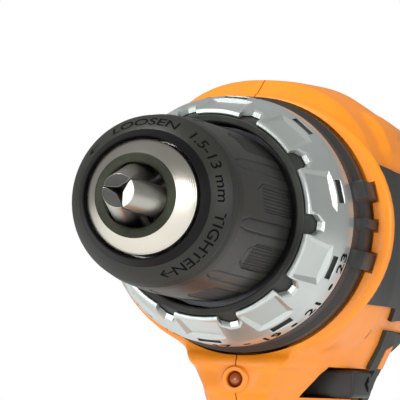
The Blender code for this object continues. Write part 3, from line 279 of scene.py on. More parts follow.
class Finishes:
    """Every finish of the drill, by the record's material slot."""

    NOSE = Finish("turned_nose_steel", (0.66, 0.63, 0.55), 0.27, 1.0, Grain.TURNED, 0.03, 0.05,
                  anisotropy=0.75)
    NOSE_RING = Finish("blackened_nose_ring", (0.030, 0.033, 0.020), 0.55, 0.6, Grain.CAST, 0.35,
                       0.8)
    BORE = Finish("chuck_bore_steel", (0.10, 0.10, 0.085), 0.42, 0.9, Grain.GROUND, 0.2, 0.3)
    JAW = Finish("ground_jaw_steel", (0.46, 0.45, 0.40), 0.34, 1.0, Grain.GROUND, 0.10, 0.25)
    # Two copies of the jaws' front face: near white as a painted highlight on one jaw, near black
    # as painted shade on the other two.
    JAW_FACE_PAINTED_HIGHLIGHT = Finish("jaw_face_painted_highlight", (0.86, 0.86, 0.84), 0.45, 0.2, Grain.GROUND, 0.06, 0.2)
    JAW_FACE_PAINTED_SHADE = Finish("jaw_face_painted_shade", (0.055, 0.055, 0.052), 0.5, 0.4, Grain.GROUND, 0.2,
                           0.3)
    SLEEVE = Finish("sleeve_plastic", (0.026, 0.026, 0.022), 0.40, 0.0, Grain.FINE, 0.10, 0.30,
                    specular=0.25)
    # Near-black plastic for the glossy front band, and painted shade in the groove behind the
    # lettered cone.
    SLEEVE_BAND_AND_SHADE = Finish("sleeve_front_band_and_groove_shade", (0.006, 0.006, 0.006), 0.46, 0.0, Grain.FINE, 0.1,
                         0.15, specular=0.12)
    # Darker sleeve plastic for the deepest grooves and pocket floors: painted shade.
    SLEEVE_GROOVE_PAINTED_SHADE = Finish("sleeve_groove", (0.012, 0.012, 0.011), 0.6, 0.0, Grain.FINE, 0.1, 0.1)
    DIAL = Finish("dial_silver", (0.56, 0.60, 0.58), 0.30, 0.7, Grain.FINE, 0.03, 0.12,
                  coat=0.15)
    DIAL_GREY = Finish("dial_grey", (0.040, 0.042, 0.036), 0.6, 0.0, Grain.CAST, 0.35, 0.6,
                       specular=0.25)
    INK = Finish("dial_ink", (0.004, 0.004, 0.004), 0.7, 0.0, Grain.FINE, 0.1, 0.1, specular=0.05)
    COLLAR = Finish("collar_plastic", (0.032, 0.032, 0.031), 0.45, 0.0, Grain.FINE, 0.08, 0.2,
                    specular=0.3)
    ORANGE = Finish("orange_housing", (0.96, 0.285, 0.010), 0.40, 0.0, Grain.FINE, 0.035, 0.18,
                    coat=0.06)
    PANEL = Finish("panel_plastic", (0.030, 0.031, 0.029), 0.48, 0.0, Grain.FINE, 0.1, 0.3,
                   specular=0.3)
    RUBBER = Finish("grip_rubber", (0.040, 0.044, 0.038), 0.72, 0.0, Grain.RUBBER, 0.12, 0.6)
    STEEL = Finish("machined_steel", (0.50, 0.50, 0.49), 0.32, 1.0, Grain.GROUND, 0.06, 0.2)
    DARK_STEEL = Finish("blackened_steel", (0.09, 0.09, 0.10), 0.42, 1.0, Grain.GROUND, 0.1, 0.2)
    ALUMINIUM = Finish("cast_aluminium", (0.55, 0.55, 0.54), 0.5, 1.0, Grain.CAST, 0.08, 0.5)
    BRONZE = Finish("sintered_bronze", (0.66, 0.46, 0.20), 0.4, 1.0, Grain.CAST, 0.08, 0.3)
    COPPER = Finish("commutator_copper", (0.72, 0.36, 0.20), 0.34, 1.0, Grain.GROUND, 0.08, 0.2)
    CELL = Finish("cell_wrap", (0.07, 0.22, 0.42), 0.35, 0.0, Grain.SMOOTH, 0.05)
    LENS = Finish("amber_lens", (0.36, 0.09, 0.02), 0.12, 0.0, Grain.SMOOTH, 0.15, coat=0.8)

    BY_SLOT = {
        "chuck_steel": NOSE, "jaw_steel": JAW, "machined_steel": STEEL, "dark_steel": DARK_STEEL,
        "cast_aluminium": ALUMINIUM, "bronze": BRONZE, "copper": COPPER,
        "sleeve_plastic": SLEEVE, "dial_silver": DIAL, "dial_grey": DIAL_GREY,
        "collar_black": COLLAR, "housing_orange": ORANGE, "panel_black": PANEL,
        "grip_rubber": RUBBER, "led_amber": LENS, "inner_black": PANEL,
        "battery_black": PANEL, "release_orange": ORANGE, "cell_wrap": CELL,
    }
    BY_NODE = {"clutch_nut": DARK_STEEL, "gearcase": DARK_STEEL, "spindle_bearing": DARK_STEEL,
               "clutch_spring": DARK_STEEL, "spindle": DARK_STEEL}


# ---------------------------------------------------------------- mesh tools

def crisp(mesh: bpy.types.Mesh, degrees: float) -> None:
    """Shades a mesh smooth, and keeps the edges that turn past an angle."""
    mesh.shade_smooth()
    mesh.set_sharp_from_angle(angle=math.radians(degrees))


class Shape:
    """A bmesh on its way to becoming a piece of the drill."""

    def __init__(self) -> None:
        """Starts empty."""
        self.bm = bmesh.new()

    @classmethod
    def lathe(cls, profile: Sequence[Point], steps: int = 128, closed: bool = True,
              centre: Point = (0.0, 0.0)) -> "Shape":
        """Spins a profile about the chuck's axis, or about a line beside it.

        Args:
            profile: (radius, distance behind the tips) points, front outside first.
            steps: how many sides the turned shape has.
            closed: whether the last point joins the first.
            centre: where the line stands, across and above the axis.

        Returns:
            The turned shape, with its faces pointing outwards.
        """
        shape = cls()
        points = [shape.bm.verts.new(DATUM.place(centre[0] + radius, s, centre[1]))
                  for radius, s in profile]
        edges = [shape.bm.edges.new(pair) for pair in zip(points, points[1:])]
        if closed:
            edges.append(shape.bm.edges.new((points[-1], points[0])))
        bmesh.ops.spin(shape.bm, geom=points + edges,
                       cent=DATUM.place(centre[0], 0.0, centre[1]), axis=(0.0, 1.0, 0.0),
                       angle=math.tau, steps=steps, use_merge=True, use_duplicate=False)
        return shape.tidy()

    @classmethod
    def block(cls, low: Sequence[float], high: Sequence[float], bevel: float = 0.0,
              segments: int = 3) -> "Shape":
        """A box between two corners given across, behind the tips and above the axis.

        Args:
            low: lowest corner, in millimetres.
            high: highest corner, in millimetres.
            bevel: radius of its rounded edges.
            segments: steps round each edge.

        Returns:
            The box.
        """
        shape = cls()
        a, b = DATUM.place(*low), DATUM.place(*high)
        bmesh.ops.create_cube(shape.bm, size=1.0)
        bmesh.ops.scale(shape.bm, vec=b - a, verts=shape.bm.verts)
        bmesh.ops.translate(shape.bm, vec=(a + b) / 2, verts=shape.bm.verts)
        if bevel:
            shape.round_edges(bevel, segments)
        return shape

    @classmethod
    def rod(cls, radius: float, start: Vector, end: Vector, sides: int = 48) -> "Shape":
        """A round bar between two places, with its radius in millimetres."""
        shape = cls()
        along = end - start
        bmesh.ops.create_cone(shape.bm, cap_ends=True, segments=sides, radius1=radius * MM,
                              radius2=radius * MM, depth=along.length)
        turn = along.to_track_quat("Z", "Y").to_matrix()
        bmesh.ops.rotate(shape.bm, matrix=turn, verts=shape.bm.verts)
        bmesh.ops.translate(shape.bm, vec=(start + end) / 2, verts=shape.bm.verts)
        return shape

    @classmethod
    def loft(cls, rings: Sequence[Sequence[Vector]]) -> "Shape":
        """A closed skin bridged through rings of the same number of points."""
        shape = cls()
        loops = []
        for ring in rings:
            points = [shape.bm.verts.new(point) for point in ring]
            pairs = zip(points, points[1:] + points[:1])
            loops.append([shape.bm.edges.new(pair) for pair in pairs])
        for loop, after in zip(loops, loops[1:]):
            bmesh.ops.bridge_loops(shape.bm, edges=loop + after)
        for loop in (loops[0], loops[-1]):
            bmesh.ops.contextual_create(shape.bm, geom=loop)
        return shape.tidy()

    @classmethod
    def prism(cls, outline: Sequence[Point], low: float, high: float) -> "Shape":
        """A solid with an outline of (behind, above) points, between two places across."""
        shape = cls()
        corners = [shape.bm.verts.new(DATUM.place(low, s, z)) for s, z in outline]
        face = shape.bm.faces.new(corners)
        grown = bmesh.ops.extrude_face_region(shape.bm, geom=[face])["geom"]
        moved = [part for part in grown if isinstance(part, bmesh.types.BMVert)]
        bmesh.ops.translate(shape.bm, vec=((high - low) * MM, 0.0, 0.0), verts=moved)
        return shape.tidy()

    def tidy(self) -> "Shape":
        """Merges doubles and turns the faces outwards."""
        bmesh.ops.remove_doubles(self.bm, verts=self.bm.verts, dist=1e-7)
        bmesh.ops.recalc_face_normals(self.bm, faces=self.bm.faces[:])
        return self

    def round_edges(self, radius: float, segments: int = 3,
                    chosen: Optional[Callable[[bmesh.types.BMEdge], bool]] = None) -> "Shape":
        """Rounds the edges that turn by more than 30 degrees, or those chosen."""
        def sharp(edge: bmesh.types.BMEdge) -> bool:
            """Whether an edge turns enough to be rounded."""
            return len(edge.link_faces) == 2 and edge.calc_face_angle() > math.radians(30.0)
        pick = chosen or sharp
        edges = [edge for edge in self.bm.edges if pick(edge)]
        bmesh.ops.bevel(self.bm, geom=edges, offset=radius * MM, offset_type="OFFSET",
                        segments=segments, profile=0.5, affect="EDGES", clamp_overlap=True,
                        material=-1)
        return self

    def slice_off(self, point: Vector, normal: Vector) -> "Shape":
        """Removes what lies beyond a plane and closes the cut."""
        geometry = self.bm.verts[:] + self.bm.edges[:] + self.bm.faces[:]
        bmesh.ops.bisect_plane(self.bm, geom=geometry, plane_co=point, plane_no=normal,
                               clear_outer=True, dist=1e-8)
        rim = [edge for edge in self.bm.edges if edge.is_boundary]
        bmesh.ops.holes_fill(self.bm, edges=rim)
        return self

    def join(self, other: "Shape") -> "Shape":
        """Adds another shape's meshes to this one."""
        mesh = bpy.data.meshes.new("joined")
        other.bm.to_mesh(mesh)
        other.bm.free()
        self.bm.from_mesh(mesh)
        bpy.data.meshes.remove(mesh)
        return self

    def turn_about_axis(self, degrees: float) -> "Shape":
        """Turns the shape about the chuck's axis, from +X up towards +Z."""
        matrix = Matrix.Rotation(math.radians(-degrees), 3, "Y")
        bmesh.ops.rotate(self.bm, cent=DATUM.place(0.0, 0.0, 0.0), matrix=matrix,
                         verts=self.bm.verts)
        return self

    def build(self, name: str, *finishes: Finish, sharp: float = 32.0) -> bpy.types.Object:
        """Makes the object, with smooth shading and its finishes in order.

        Args:
            name: the object's name.
            finishes: materials, the first for every face that isn't marked otherwise.
            sharp: the angle in degrees past which an edge stays crisp.

        Returns:
            The new object, linked to the scene.
        """
        mesh = bpy.data.meshes.new(name)
        self.bm.to_mesh(mesh)
        self.bm.free()
        crisp(mesh, sharp)
        for finish in finishes:
            mesh.materials.append(finish.material())
        piece = bpy.data.objects.new(name, mesh)
        link(piece)
        return piece


def carve(piece: bpy.types.Object, tool: bpy.types.Object, operation: str = "DIFFERENCE") -> None:
    """Cuts a piece with a tool, or joins them, and keeps only the result.

    Args:
        piece: the piece that changes.
        tool: the tool, which is removed afterwards.
        operation: DIFFERENCE, UNION or INTERSECT.
    """
    modifier = piece.modifiers.new("carve", "BOOLEAN")
    modifier.operation = operation
    modifier.object = tool
    modifier.solver = "EXACT"
    modifier.use_hole_tolerant = False
    apply_modifiers(piece)
    bpy.data.objects.remove(tool)


def apply_modifiers(piece: bpy.types.Object) -> None:
    """Puts the evaluated shape of a piece into its own mesh."""
    bpy.context.view_layer.update()
    evaluated = piece.evaluated_get(bpy.context.evaluated_depsgraph_get())
    mesh = bpy.data.meshes.new_from_object(evaluated)
    old = piece.data
    piece.modifiers.clear()
    piece.data = mesh
    mesh.name = piece.name
    bpy.data.meshes.remove(old)


def twin(piece: bpy.types.Object) -> bpy.types.Object:
    """A copy of a piece with its own mesh."""
    copy = piece.copy()
    copy.data = piece.data.copy()
    link(copy)
    return copy


def fit(piece: bpy.types.Object, body: str, slot: str, *nodes: str) -> bpy.types.Object:
    """Hangs a finished piece on its body, in place of its CAD nodes."""
    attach(piece, body)
    if nodes:
        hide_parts(*nodes)
    log.info("%s: %d faces on %s", piece.name, len(piece.data.polygons), body)
    return piece


# ---------------------------------------------------------------- chuck

def spread(profile: Sequence[Point], step: float) -> list[Point]:
    """Adds points to a profile so that none are further apart than a step."""
    points: list[Point] = []
    for (radius, s), (next_radius, next_s) in zip(profile, profile[1:]):
        count = max(1, math.ceil(math.hypot(next_radius - radius, next_s - s) / step))
        for index in range(count):
            share = index / count
            points.append((radius + (next_radius - radius) * share, s + (next_s - s) * share))
    points.append(profile[-1])
    return points


def round_axis(place: Vector) -> Triple:
    """Radius, angle in degrees and distance behind the tips of a place."""
    x, z = place.x / MM, DATUM.above(place)
    return math.hypot(x, z), math.degrees(math.atan2(z, x)), DATUM.behind(place)


def from_nearest(degrees: float, first: float, pitch: float) -> float:
    """Degrees from the nearest of the marks that repeat round the axis."""
    return round((degrees - first + pitch / 2) % pitch - pitch / 2, 3)


@dataclass
class Lettering:
    """Raised ink on a turned surface: where its middle stands and how it is turned."""

    surface: tuple[Point, Point]
    height: float
    lift: float = 0.05
    weight: float = 0.0

    def shape(self, text: str) -> bpy.types.Mesh:
        """Makes the flat letters as a thin solid, centred on the origin, in millimetres."""
        curve = bpy.data.curves.new("letters", "FONT")
        curve.body = text
        curve.size = self.height / 0.7
        curve.align_x = "CENTER"
        curve.align_y = "CENTER"
        curve.extrude = self.lift
        curve.offset = self.weight
        curve.resolution_u = 4
        holder = bpy.data.objects.new("letters", curve)
        link(holder)
        bpy.context.view_layer.update()
        depsgraph = bpy.context.evaluated_depsgraph_get()
        mesh = bpy.data.meshes.new_from_object(holder.evaluated_get(depsgraph))
        bpy.data.objects.remove(holder)
        return mesh

    def wrap(self, into: Shape, text: str, degrees: float, forward: bool) -> None:
        """Lays letters on the surface at an angle round the axis.

        Args:
            into: the shape that gathers the letters.
            text: what is written.
            degrees: where its middle stands.
            forward: whether the letters' tops face the jaws; else they face outwards.
        """
        mesh = self.shape(text)
        (radius_a, s_a), (radius_b, s_b) = self.surface
        slant = math.hypot(radius_b - radius_a, s_b - s_a)
        out, back = (radius_b - radius_a) / slant, (s_b - s_a) / slant
        middle_radius, middle_s = (radius_a + radius_b) / 2, (s_a + s_b) / 2
        letters = bmesh.new()
        letters.from_mesh(mesh)
        bpy.data.meshes.remove(mesh)
        bmesh.ops.remove_doubles(letters, verts=letters.verts, dist=1e-5)
        for vert in letters.verts:
            along, up, rise = vert.co
            upward = -up if forward else up
            turn = math.degrees(along / middle_radius)
            angle = degrees + turn if forward else degrees - turn
            vert.co = DATUM.polar(middle_radius + upward * out + rise * back, angle,
                                  middle_s + upward * back - rise * out)
        bmesh.ops.recalc_face_normals(letters, faces=letters.faces[:])
        extra = Shape()
        extra.bm.free()
        extra.bm = letters
        into.join(extra)


@dataclass
class Chuck:
    """Keyless chuck: turned nose, three jaws and the ribbed sleeve."""

    jaw_turn: float = -14.0
    jaw_lean: float = 16.0
    jaw_radius: float = 3.6
    jaw_length: float = 36.3
    jaw_gap: float = 0.15
    nub: float = 0.9
    nub_half_angle: float = 75.0
    jaw_room: float = 0.45
    jaw_lead: float = 4.0
    jaw_edge: float = 0.26
    bore_depth: float = 58.8
    face: float = 11.4
    cone_end: float = 16.2
    cone_inner: float = 9.55
    lip_depth: float = 0.7
    bore_radius: float = 7.4
    bore_end: float = 45.0
    sleeve_steps: int = 540
    pocket_pitch: float = 40.0
    pocket_first: float = 8.5
    pocket: tuple[Point, ...] = ((-3.36, 70.0), (-3.36, 44.5), (-1.6, 39.3), (1.6, 39.3),
                                 (3.36, 44.5), (3.36, 70.0))
    strip: tuple[Point, ...] = ((5.98, 70.0), (5.98, 33.5), (6.7, 29.2), (8.3, 29.2),
                                (8.96, 33.5), (8.96, 70.0))
    degree: float = 0.3735
    rib_pitch: float = 2.25
    rib_start: float = 42.5
    rib_height: float = 0.26
    pocket_floor: float = 0.22
    pocket_line: tuple[float, float] = (0.42, 0.34)
    strip_line: tuple[float, float] = (0.38, 0.26)
    strip_floor: float = 0.14
    skin_from: float = 28.0
    skin_to: float = 67.2
    skin_radius: float = 19.85
    # How deep a sleeve face must sink before it takes the painted shade of the groove finish.
    painted_shade_depth: float = 0.27
    # The first band is the sleeve's glossy black front band; the second is painted shade in the
    # groove behind the lettered cone.
    band_and_groove_shade: tuple[Triple, ...] = ((0.0, 18.28, 15.7), (24.2, 24.9, 19.4))

    def build(self) -> None:
        """Builds the chuck's visible pieces."""
        self._nose()
        for index in range(3):
            self._jaw(index)
        self._sleeve()
        self._letters()

    def _jaw_line(self, index: int) -> tuple[float, Vector]:
        """A jaw's angle round the axis and the direction it slides back in."""
        angle = self.jaw_turn + 120.0 * index
        turn, lean = math.radians(angle), math.radians(self.jaw_lean)
        return angle, Vector((math.cos(turn) * math.sin(lean), math.cos(lean),
                              math.sin(turn) * math.sin(lean)))

    def _nose(self) -> None:
        """The turned body with its bright cone, blackened lip and three jaw bores."""
        shape = Shape.lathe([
            (9.62, self.face + 0.18), (13.05, 15.68), (13.2, 15.95), (13.2, 24.0), (15.0, 24.0),
            (15.0, 26.5), (10.5, 26.5), (10.5, 34.5), (15.0, 34.5), (15.0, 56.0), (11.0, 56.0),
            (11.0, 61.7), (10.7, 62.0), (6.3, 62.0), (6.3, 48.0), (2.8, 48.0), (2.8, 45.0),
            (7.3, 45.0), (7.3, self.face + 0.5), (7.62, self.face + 0.12),
            (8.0, self.face), (9.4, self.face)], 192)
        nose = shape.build("chuck_nose", Finishes.NOSE, Finishes.NOSE_RING, Finishes.BORE,
                           Finishes.STEEL, sharp=24.0)
        tip = DATUM.place(0.0, 0.0, 0.0)
        for index in range(3):
            _, back = self._jaw_line(index)
            bore = Shape.rod(self.jaw_radius + self.jaw_room, tip - back * MM,
                             tip + back * self.bore_depth * MM, 64)
            carve(nose, bore.build("jaw_bore"))
        for face in nose.data.polygons:
            radius, _, s = round_axis(face.center)
            if s < self.cone_end:
                lip = 1 if s < self.face + self.lip_depth else 2
                face.material_index = 0 if radius > self.cone_inner else lip
            else:
                inside = radius < self.bore_radius and s < self.bore_end
                face.material_index = 2 if inside else 3
        fit(nose, "output", "chuck_steel", "chuck_body")

    def _jaw(self, index: int) -> None:
        """One jaw: a sloping pin with a hollow-ground face and a blunt inner edge; its front face
        carries a painted highlight on the first jaw and painted shade on the others.
        """
        angle, back = self._jaw_line(index)
        tip = DATUM.place(0.0, 0.0, 0.0)
        shape = Shape.rod(self.jaw_radius, tip - back * self.jaw_lead * MM,
                          tip + back * self.jaw_length * MM, 64)
        shape.slice_off(DATUM.polar(self.jaw_radius, angle, 0.0), -back)
        inner = DATUM.polar(self.nub, angle, 0.0)
        for side in (-1.0, 1.0):
            facing = DATUM.polar(1.0, angle + side * (self.nub_half_angle + 90.0), 0.0) - tip
            shape.slice_off(inner, facing)
            facing = DATUM.polar(1.0, angle + side * 150.0, 0.0) - tip
            shape.slice_off(tip - facing * self.jaw_gap, facing)
        shape.tidy().round_edges(self.jaw_edge, 3)
        for face in shape.bm.faces:
            face.normal_update()
            face.material_index = 1 if -face.normal.dot(back) > 0.985 else 0
        # The first jaw's front face is painted bright as a highlight; the other two are painted
        # dark as shade.
        front = Finishes.JAW_FACE_PAINTED_HIGHLIGHT if index == 0 else Finishes.JAW_FACE_PAINTED_SHADE
        jaw = shape.build(f"chuck_jaw_{index + 1}", Finishes.JAW, front)
        fit(jaw, f"jaw_{index + 1}_body", "jaw_steel", f"jaw_{index + 1}")

    def _relief(self, degrees: float, s: float) -> float:
        """How far the sleeve's skin lies below its turned shape, in millimetres."""
        across = from_nearest(degrees, self.pocket_first, self.pocket_pitch) * self.degree
        s = round(s, 3)
        edge = edge_distance(self.pocket, across, s)
        depth = 0.0
        if edge < 0.3:
            deep, half = self.pocket_line
            depth = deep * (1.0 - min(1.0, abs(edge) / half) ** 2)
            if edge < 0.0:
                inside = smoothstep(0.1, 0.5, -edge)
                ribs = 0.5 - 0.5 * math.cos(math.tau * degrees / self.rib_pitch)
                ribs *= smoothstep(self.rib_start, self.rib_start + 1.0, s)
                depth = max(depth, inside * (self.pocket_floor + self.rib_height * ribs))
        edge = edge_distance(self.strip, abs(across), s)
        deep, half = self.strip_line
        if edge < half:
            line = deep * (1.0 - min(1.0, abs(edge) / half) ** 2)
            depth = max(depth, line, self.strip_floor if edge < 0.0 else 0.0)
        fade_in = smoothstep(self.skin_from, self.skin_from + 1.5, s)
        return depth * fade_in * (1.0 - smoothstep(66.4, self.skin_to, s))

    def _sleeve(self) -> None:
        """The black sleeve, with its bevelled front, pockets, ribs and fine lines, and painted
        shade in its deeper grooves.
        """
        outside = spread([(19.1, 24.85), (19.9, 26.2), (20.3, 28.5), (21.1, 40.0), (21.5, 56.0),
                          (21.5, 67.0)], 0.36)
        front = [(13.75, 16.5), (13.85, 16.05), (14.15, 15.95), (15.45, 17.85), (15.65, 18.25),
                 (15.8, 18.3), (19.3, 23.1), (19.55, 23.5), (19.5, 23.95), (18.95, 24.35)]
        inside = [(21.3, 67.4), (20.9, 67.5), (19.8, 67.5), (19.8, 35.0), (17.8, 35.0),
                  (17.8, 26.7), (15.3, 26.7), (15.3, 23.7), (13.5, 23.7)]
        shape = Shape.lathe(front + outside + inside, self.sleeve_steps)
        depths: dict[bmesh.types.BMVert, float] = {}
        for vert in shape.bm.verts:
            radius, degrees, s = round_axis(vert.co)
            if radius > self.skin_radius and self.skin_from < s < self.skin_to:
                depths[vert] = self._relief(degrees, s)
                vert.co = DATUM.polar(radius - depths[vert], degrees, s)
        for face in shape.bm.faces:
            radius, _, s = round_axis(face.calc_center_median())
            depth = sum(depths.get(vert, 0.0) for vert in face.verts) / len(face.verts)
            # Faces in the listed bands take the near-black finish: the sleeve's front band, and
            # painted shade in the groove behind the lettered cone.
            if any(low < s < high and radius < inner for low, high, inner in self.band_and_groove_shade):
                face.material_index = 1
            # Faces sunk deep enough take the darker groove finish: painted shade in the grooves and
            # pocket floors.
            elif depth > self.painted_shade_depth:
                face.material_index = 2
        sleeve = shape.build("grip_sleeve", Finishes.SLEEVE, Finishes.SLEEVE_BAND_AND_SHADE,
                             Finishes.SLEEVE_GROOVE_PAINTED_SHADE, sharp=50.0)
        fit(sleeve, "sleeve", "sleeve_plastic", "chuck_sleeve")

    def _letters(self) -> None:
        """What the sleeve's cone says: which way it turns, and what it holds."""
        words = Lettering(((15.75, 18.25), (19.35, 23.2)), 3.0, weight=0.03)
        shape = Shape()
        for text, degrees in (("LOOSEN", 96.0), ("1.5-13 mm", 29.0), ("TIGHTEN", -38.0),
                              ("←", 142.0), ("→", -72.0)):
            words.wrap(shape, text, degrees, False)
        fit(shape.build("sleeve_letters", Finishes.INK), "sleeve", "sleeve_plastic")


# ---------------------------------------------------------------- clutch dial

@dataclass
class ClutchDial:
    """Numbered torque dial: silver skin with notches, pads and slots over a grey core."""

    steps: int = 240
    pads: int = 10
    pad_first: float = 14.8
    number_band: tuple[Point, Point] = ((31.79, 82.3), (32.09, 87.5))
    number_step: float = 12.0
    last_number: int = 23
    last_angle: float = -17.8
    notch: tuple[Point, ...] = ((-2.5, 62.0), (-2.5, 69.0), (-1.0, 71.4), (1.0, 71.4),
                                (2.5, 69.0), (2.5, 62.0))
    pad: tuple[Point, ...] = ((-4.6, 66.7), (4.6, 66.7), (3.75, 76.8), (-3.75, 76.8))
    slot: tuple[Point, ...] = ((-3.0, 78.7), (3.0, 78.7), (3.0, 81.3), (-3.0, 81.3))
    notch_levels: tuple[Triple, ...] = ((-3.0, 0.0, 0.0), (-0.4, 0.0, 0.0), (0.8, 1.2, 1.2))
    pad_levels: tuple[Triple, ...] = ((-0.95, 0.0, 0.0), (0.6, 4.4, 1.3))
    slot_levels: tuple[Triple, ...] = ((-0.9, 0.0, 0.0), (-0.3, 0.0, 0.0), (0.6, 0.9, 0.75))
    skin_front: Point = (27.1, 67.2)
    slope: float = 0.3188
    grey_depth: float = 0.2
    skin_sharp: float = 14.0

    def build(self) -> None:
        """Builds the skin, the core and the numbers."""
        self._skin()
        self._core()
        self._numbers()

    def _surface(self, s: float) -> float:
        """Radius of the sloping skin at a distance behind the tips."""
        radius, front = self.skin_front
        return radius + (s - front) * self.slope

    def _pocket(self, outline: tuple[Point, ...], degrees: float,
                levels: Sequence[Triple]) -> Shape:
        """A cutter that widens upwards from a flat floor.

        Args:
            outline: corners of the floor, across and behind the tips.
            degrees: where its middle stands round the axis.
            levels: height from the skin, and how much wider and longer the outline is there.

        Returns:
            The cutter, with its deep faces marked grey.
        """
        half = max(u for u, _ in outline)
        middle = (min(s for _, s in outline) + max(s for _, s in outline)) / 2
        reach = max(s for _, s in outline) - middle
        turn = math.radians(degrees)
        out = Vector((math.cos(turn), 0.0, math.sin(turn)))
        across = Vector((-math.sin(turn), 0.0, math.cos(turn)))
        rings = []
        for height, wider, longer in levels:
            ring = []
            for u, s in outline:
                at = out * (self._surface(s) + height) + across * (u * (1.0 + wider / half))
                ring.append(DATUM.place(at.x, middle + (s - middle) * (1.0 + longer / reach), at.z))
            rings.append(ring)
        return Shape.loft(rings)

    def _cutters(self) -> Shape:
        """Every notch, pad and slot of the skin, as one cutter."""
        cutter = Shape()
        for index in range(self.pads):
            degrees = self.pad_first + 360.0 / self.pads * index
            between = degrees + 180.0 / self.pads
            cutter.join(self._pocket(self.notch, between, self.notch_levels))
            cutter.join(self._pocket(self.pad, degrees, self.pad_levels))
            slot = self._pocket(self.slot, degrees, self.slot_levels)
            for face in slot.bm.faces:
                radius, _, s = round_axis(face.calc_center_median())
                face.material_index = int(radius < self._surface(s) - self.grey_depth)
            cutter.join(slot)
        return cutter

    def _skin(self) -> None:
        """The silver skin."""
        outside = spread([(26.55, 66.4), (27.1, 67.2), (31.5, 81.0), (31.85, 83.2),
                          (32.1, 87.6)], 1.0)
        profile = [(25.15, 65.95), (25.4, 65.75), (25.95, 65.72), (26.25, 65.95)] + outside + [
            (31.95, 88.0), (30.8, 88.0), (30.1, 82.0), (25.5, 67.2), (25.15, 66.6)]
        skin = Shape.lathe(profile, self.steps).build("dial_skin", Finishes.DIAL,
                                                      Finishes.DIAL_GREY, sharp=45.0)
        carve(skin, self._cutters().build("dial_cutters"))
        crisp(skin.data, self.skin_sharp)
        fit(skin, "dial", "dial_silver", "clutch_dial_shell")

    def _core(self) -> None:
        """The grey core whose lip shows inside the front rim."""
        shape = Shape.lathe([
            (23.35, 65.55), (24.6, 65.5), (24.85, 65.7), (24.85, 66.5), (25.2, 67.2),
            (29.8, 82.0), (30.5, 88.0), (27.5, 88.0), (23.0, 83.5), (23.0, 65.9)], 192)
        fit(shape.build("dial_core", Finishes.DIAL_GREY), "dial", "dial_grey",
            "clutch_dial_core")

    def _numbers(self) -> None:
        """Odd numbers, with a dot for each even one."""
        ink = Lettering(self.number_band, 4.1, weight=0.10)
        dots = Lettering(self.number_band, 5.6)
        shape = Shape()
        for number in range(1, self.last_number + 1):
            angle = self.last_angle + self.number_step * (number - self.last_number)
            if number % 2:
                ink.wrap(shape, str(number), angle, True)
            else:
                dots.wrap(shape, "•", angle, True)
        fit(shape.build("dial_numbers", Finishes.INK), "dial", "dial_grey")


@dataclass
class Collar:
    """Fixed black collar behind the dial, with lugs that lock it to the housing."""

    lugs: tuple[Triple, ...] = ((16.2, 2.3, 35.4), (1.8, 1.3, 34.9), (-14.0, 2.3, 35.4))
    lug_front: float = 90.5
    lug_rear: float = 102.9

    def build(self) -> None:
        """Builds the collar and its lugs on both sides."""
        shape = Shape.lathe([(31.6, 88.3), (32.1, 88.75), (32.1, 94.5), (33.4, 96.5),
                             (33.4, 102.3), (32.1, 102.6), (32.1, 105.9), (31.7, 106.2),
                             (26.3, 106.2), (26.3, 88.3)], 256)
        collar = shape.build("gearcase_ring", Finishes.COLLAR)
        for lug in self.shapes(0.0):
            carve(collar, lug.build("lug"), "UNION")
        fit(collar, "housing", "collar_black", "gearcase_collar")

    def shapes(self, room: float) -> list[Shape]:
        """The lugs, or with some room round them the notches that take them."""
        made = []
        for degrees, half, reach in self.lugs:
            for angle in (degrees, 180.0 - degrees):
                lug = Shape.block((31.0 - room, self.lug_front, -half - room),
                                  (reach + room, self.lug_rear + room, half + room),
                                  0.0 if room else 0.45, 2)
                made.append(lug.turn_about_axis(angle))
        return made


# ---------------------------------------------------------------- housing

def rounded(half_u: float, half_v: float, power: float, steps: int = 96) -> list[Point]:
    """Points of a rounded rectangle: power 2 is an ellipse, and more is squarer."""
    points = []
    for index in range(steps):
        angle = math.tau * index / steps
        u, v = math.cos(angle), math.sin(angle)
        points.append((half_u * math.copysign(abs(u) ** (2 / power), u),
                       half_v * math.copysign(abs(v) ** (2 / power), v)))
    return points


